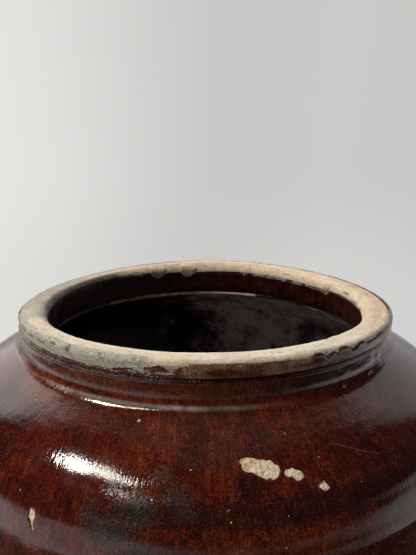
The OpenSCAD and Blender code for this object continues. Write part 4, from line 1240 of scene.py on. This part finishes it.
def room():
    """The world: a bright wall behind the jar, a dim ceiling, and a low pale band in front. The camera sees the backdrop."""
    world = bpy.data.worlds.new("room")
    world.use_nodes = True
    tree = world.node_tree
    background = tree.nodes["Background"]
    direction = tree.nodes.new("ShaderNodeTexCoord").outputs["Generated"]
    backdrop, parts = backdrop_tone(tree, direction)
    x, z = parts.outputs["X"], parts.outputs["Z"]

    def facing(normal, low, high):
        dot = tree.nodes.new("ShaderNodeVectorMath")
        dot.operation = "DOT_PRODUCT"
        tree.links.new(direction, dot.inputs[0])
        dot.inputs[1].default_value = normal
        return spread(tree, dot.outputs["Value"], low, high)

    wall = sums(tree, "MULTIPLY", facing((0.483, 0.847, 0.223), 0.0, 0.04), facing((-0.486, 0.847, 0.217), -0.012, 0.03))
    tone = mix(tree, spread(tree, x, -0.45, 0.40), by_share(tree, z, WALL_LEFT), by_share(tree, z, WALL_RIGHT))
    wall = sums(tree, "MULTIPLY", wall, tone)
    low = spread(tree, sums(tree, "SUBTRACT", by_share(tree, half_up(tree, x), LOW_TOP), z), -0.02, 0.03)
    low = sums(tree, "MULTIPLY", low, by_share(tree, half_up(tree, x), LOW_TONE))
    light = sums(tree, "ADD", sums(tree, "MAXIMUM", wall, low), 0.04)
    lit = tree.nodes.new("ShaderNodeCombineXYZ")
    for axis in ("X", "Y", "Z"):
        tree.links.new(light, lit.inputs[axis])
    seen = tree.nodes.new("ShaderNodeLightPath").outputs["Is Camera Ray"]
    tree.links.new(mix(tree, seen, lit.outputs["Vector"], backdrop), background.inputs["Color"])
    background.inputs["Strength"].default_value = 1.0
    bpy.context.scene.world = world


def area_light(name, azimuth, elevation, distance, size, radiance, colour=(1, 1, 1), roll=0.0):
    """A soft box seen from the rim's middle in that direction, with its radiance."""
    a, e = math.radians(azimuth), math.radians(elevation)
    away = Vector((math.cos(a) * math.cos(e), math.sin(a) * math.cos(e), math.sin(e)))
    data = bpy.data.lights.new(name, "AREA")
    data.shape = "RECTANGLE"
    data.size, data.size_y = size
    data.energy = radiance * math.pi * size[0] * size[1]
    data.color = colour
    light = bpy.data.objects.new(name, data)
    light.location = RIM_TOP + away * distance
    light.rotation_euler = (-away).to_track_quat("-Z", "Y").to_euler()
    light.rotation_euler.rotate_axis("Z", math.radians(roll))
    bpy.context.scene.collection.objects.link(light)


def camera():
    """The camera at the photograph's place, which looks along +Y and a little down."""
    data = bpy.data.cameras.new("camera")
    data.sensor_fit = "AUTO"
    data.sensor_width = SENSOR_MM
    data.lens = FOCAL_PX / IMAGE_H_PX * SENSOR_MM
    data.clip_start = 0.01
    data.clip_end = 50
    eye = bpy.data.objects.new("camera", data)
    eye.location = RIM_TOP + CAMERA_FROM_RIM
    eye.rotation_euler = (math.radians(90 - CAMERA_PITCH_DEG), 0, 0)
    bpy.context.scene.collection.objects.link(eye)
    bpy.context.scene.camera = eye


floor_piece()
room()
area_light("window", -163, 49.2, 1.65, (0.15, 0.115), 262, (1.0, 0.95, 0.86))
area_light("window_side", -145.5, 55.6, 1.62, (0.40, 0.06), 50, (1.0, 0.95, 0.86), 9)
camera()
bpy.context.scene.view_settings.view_transform = "Standard"
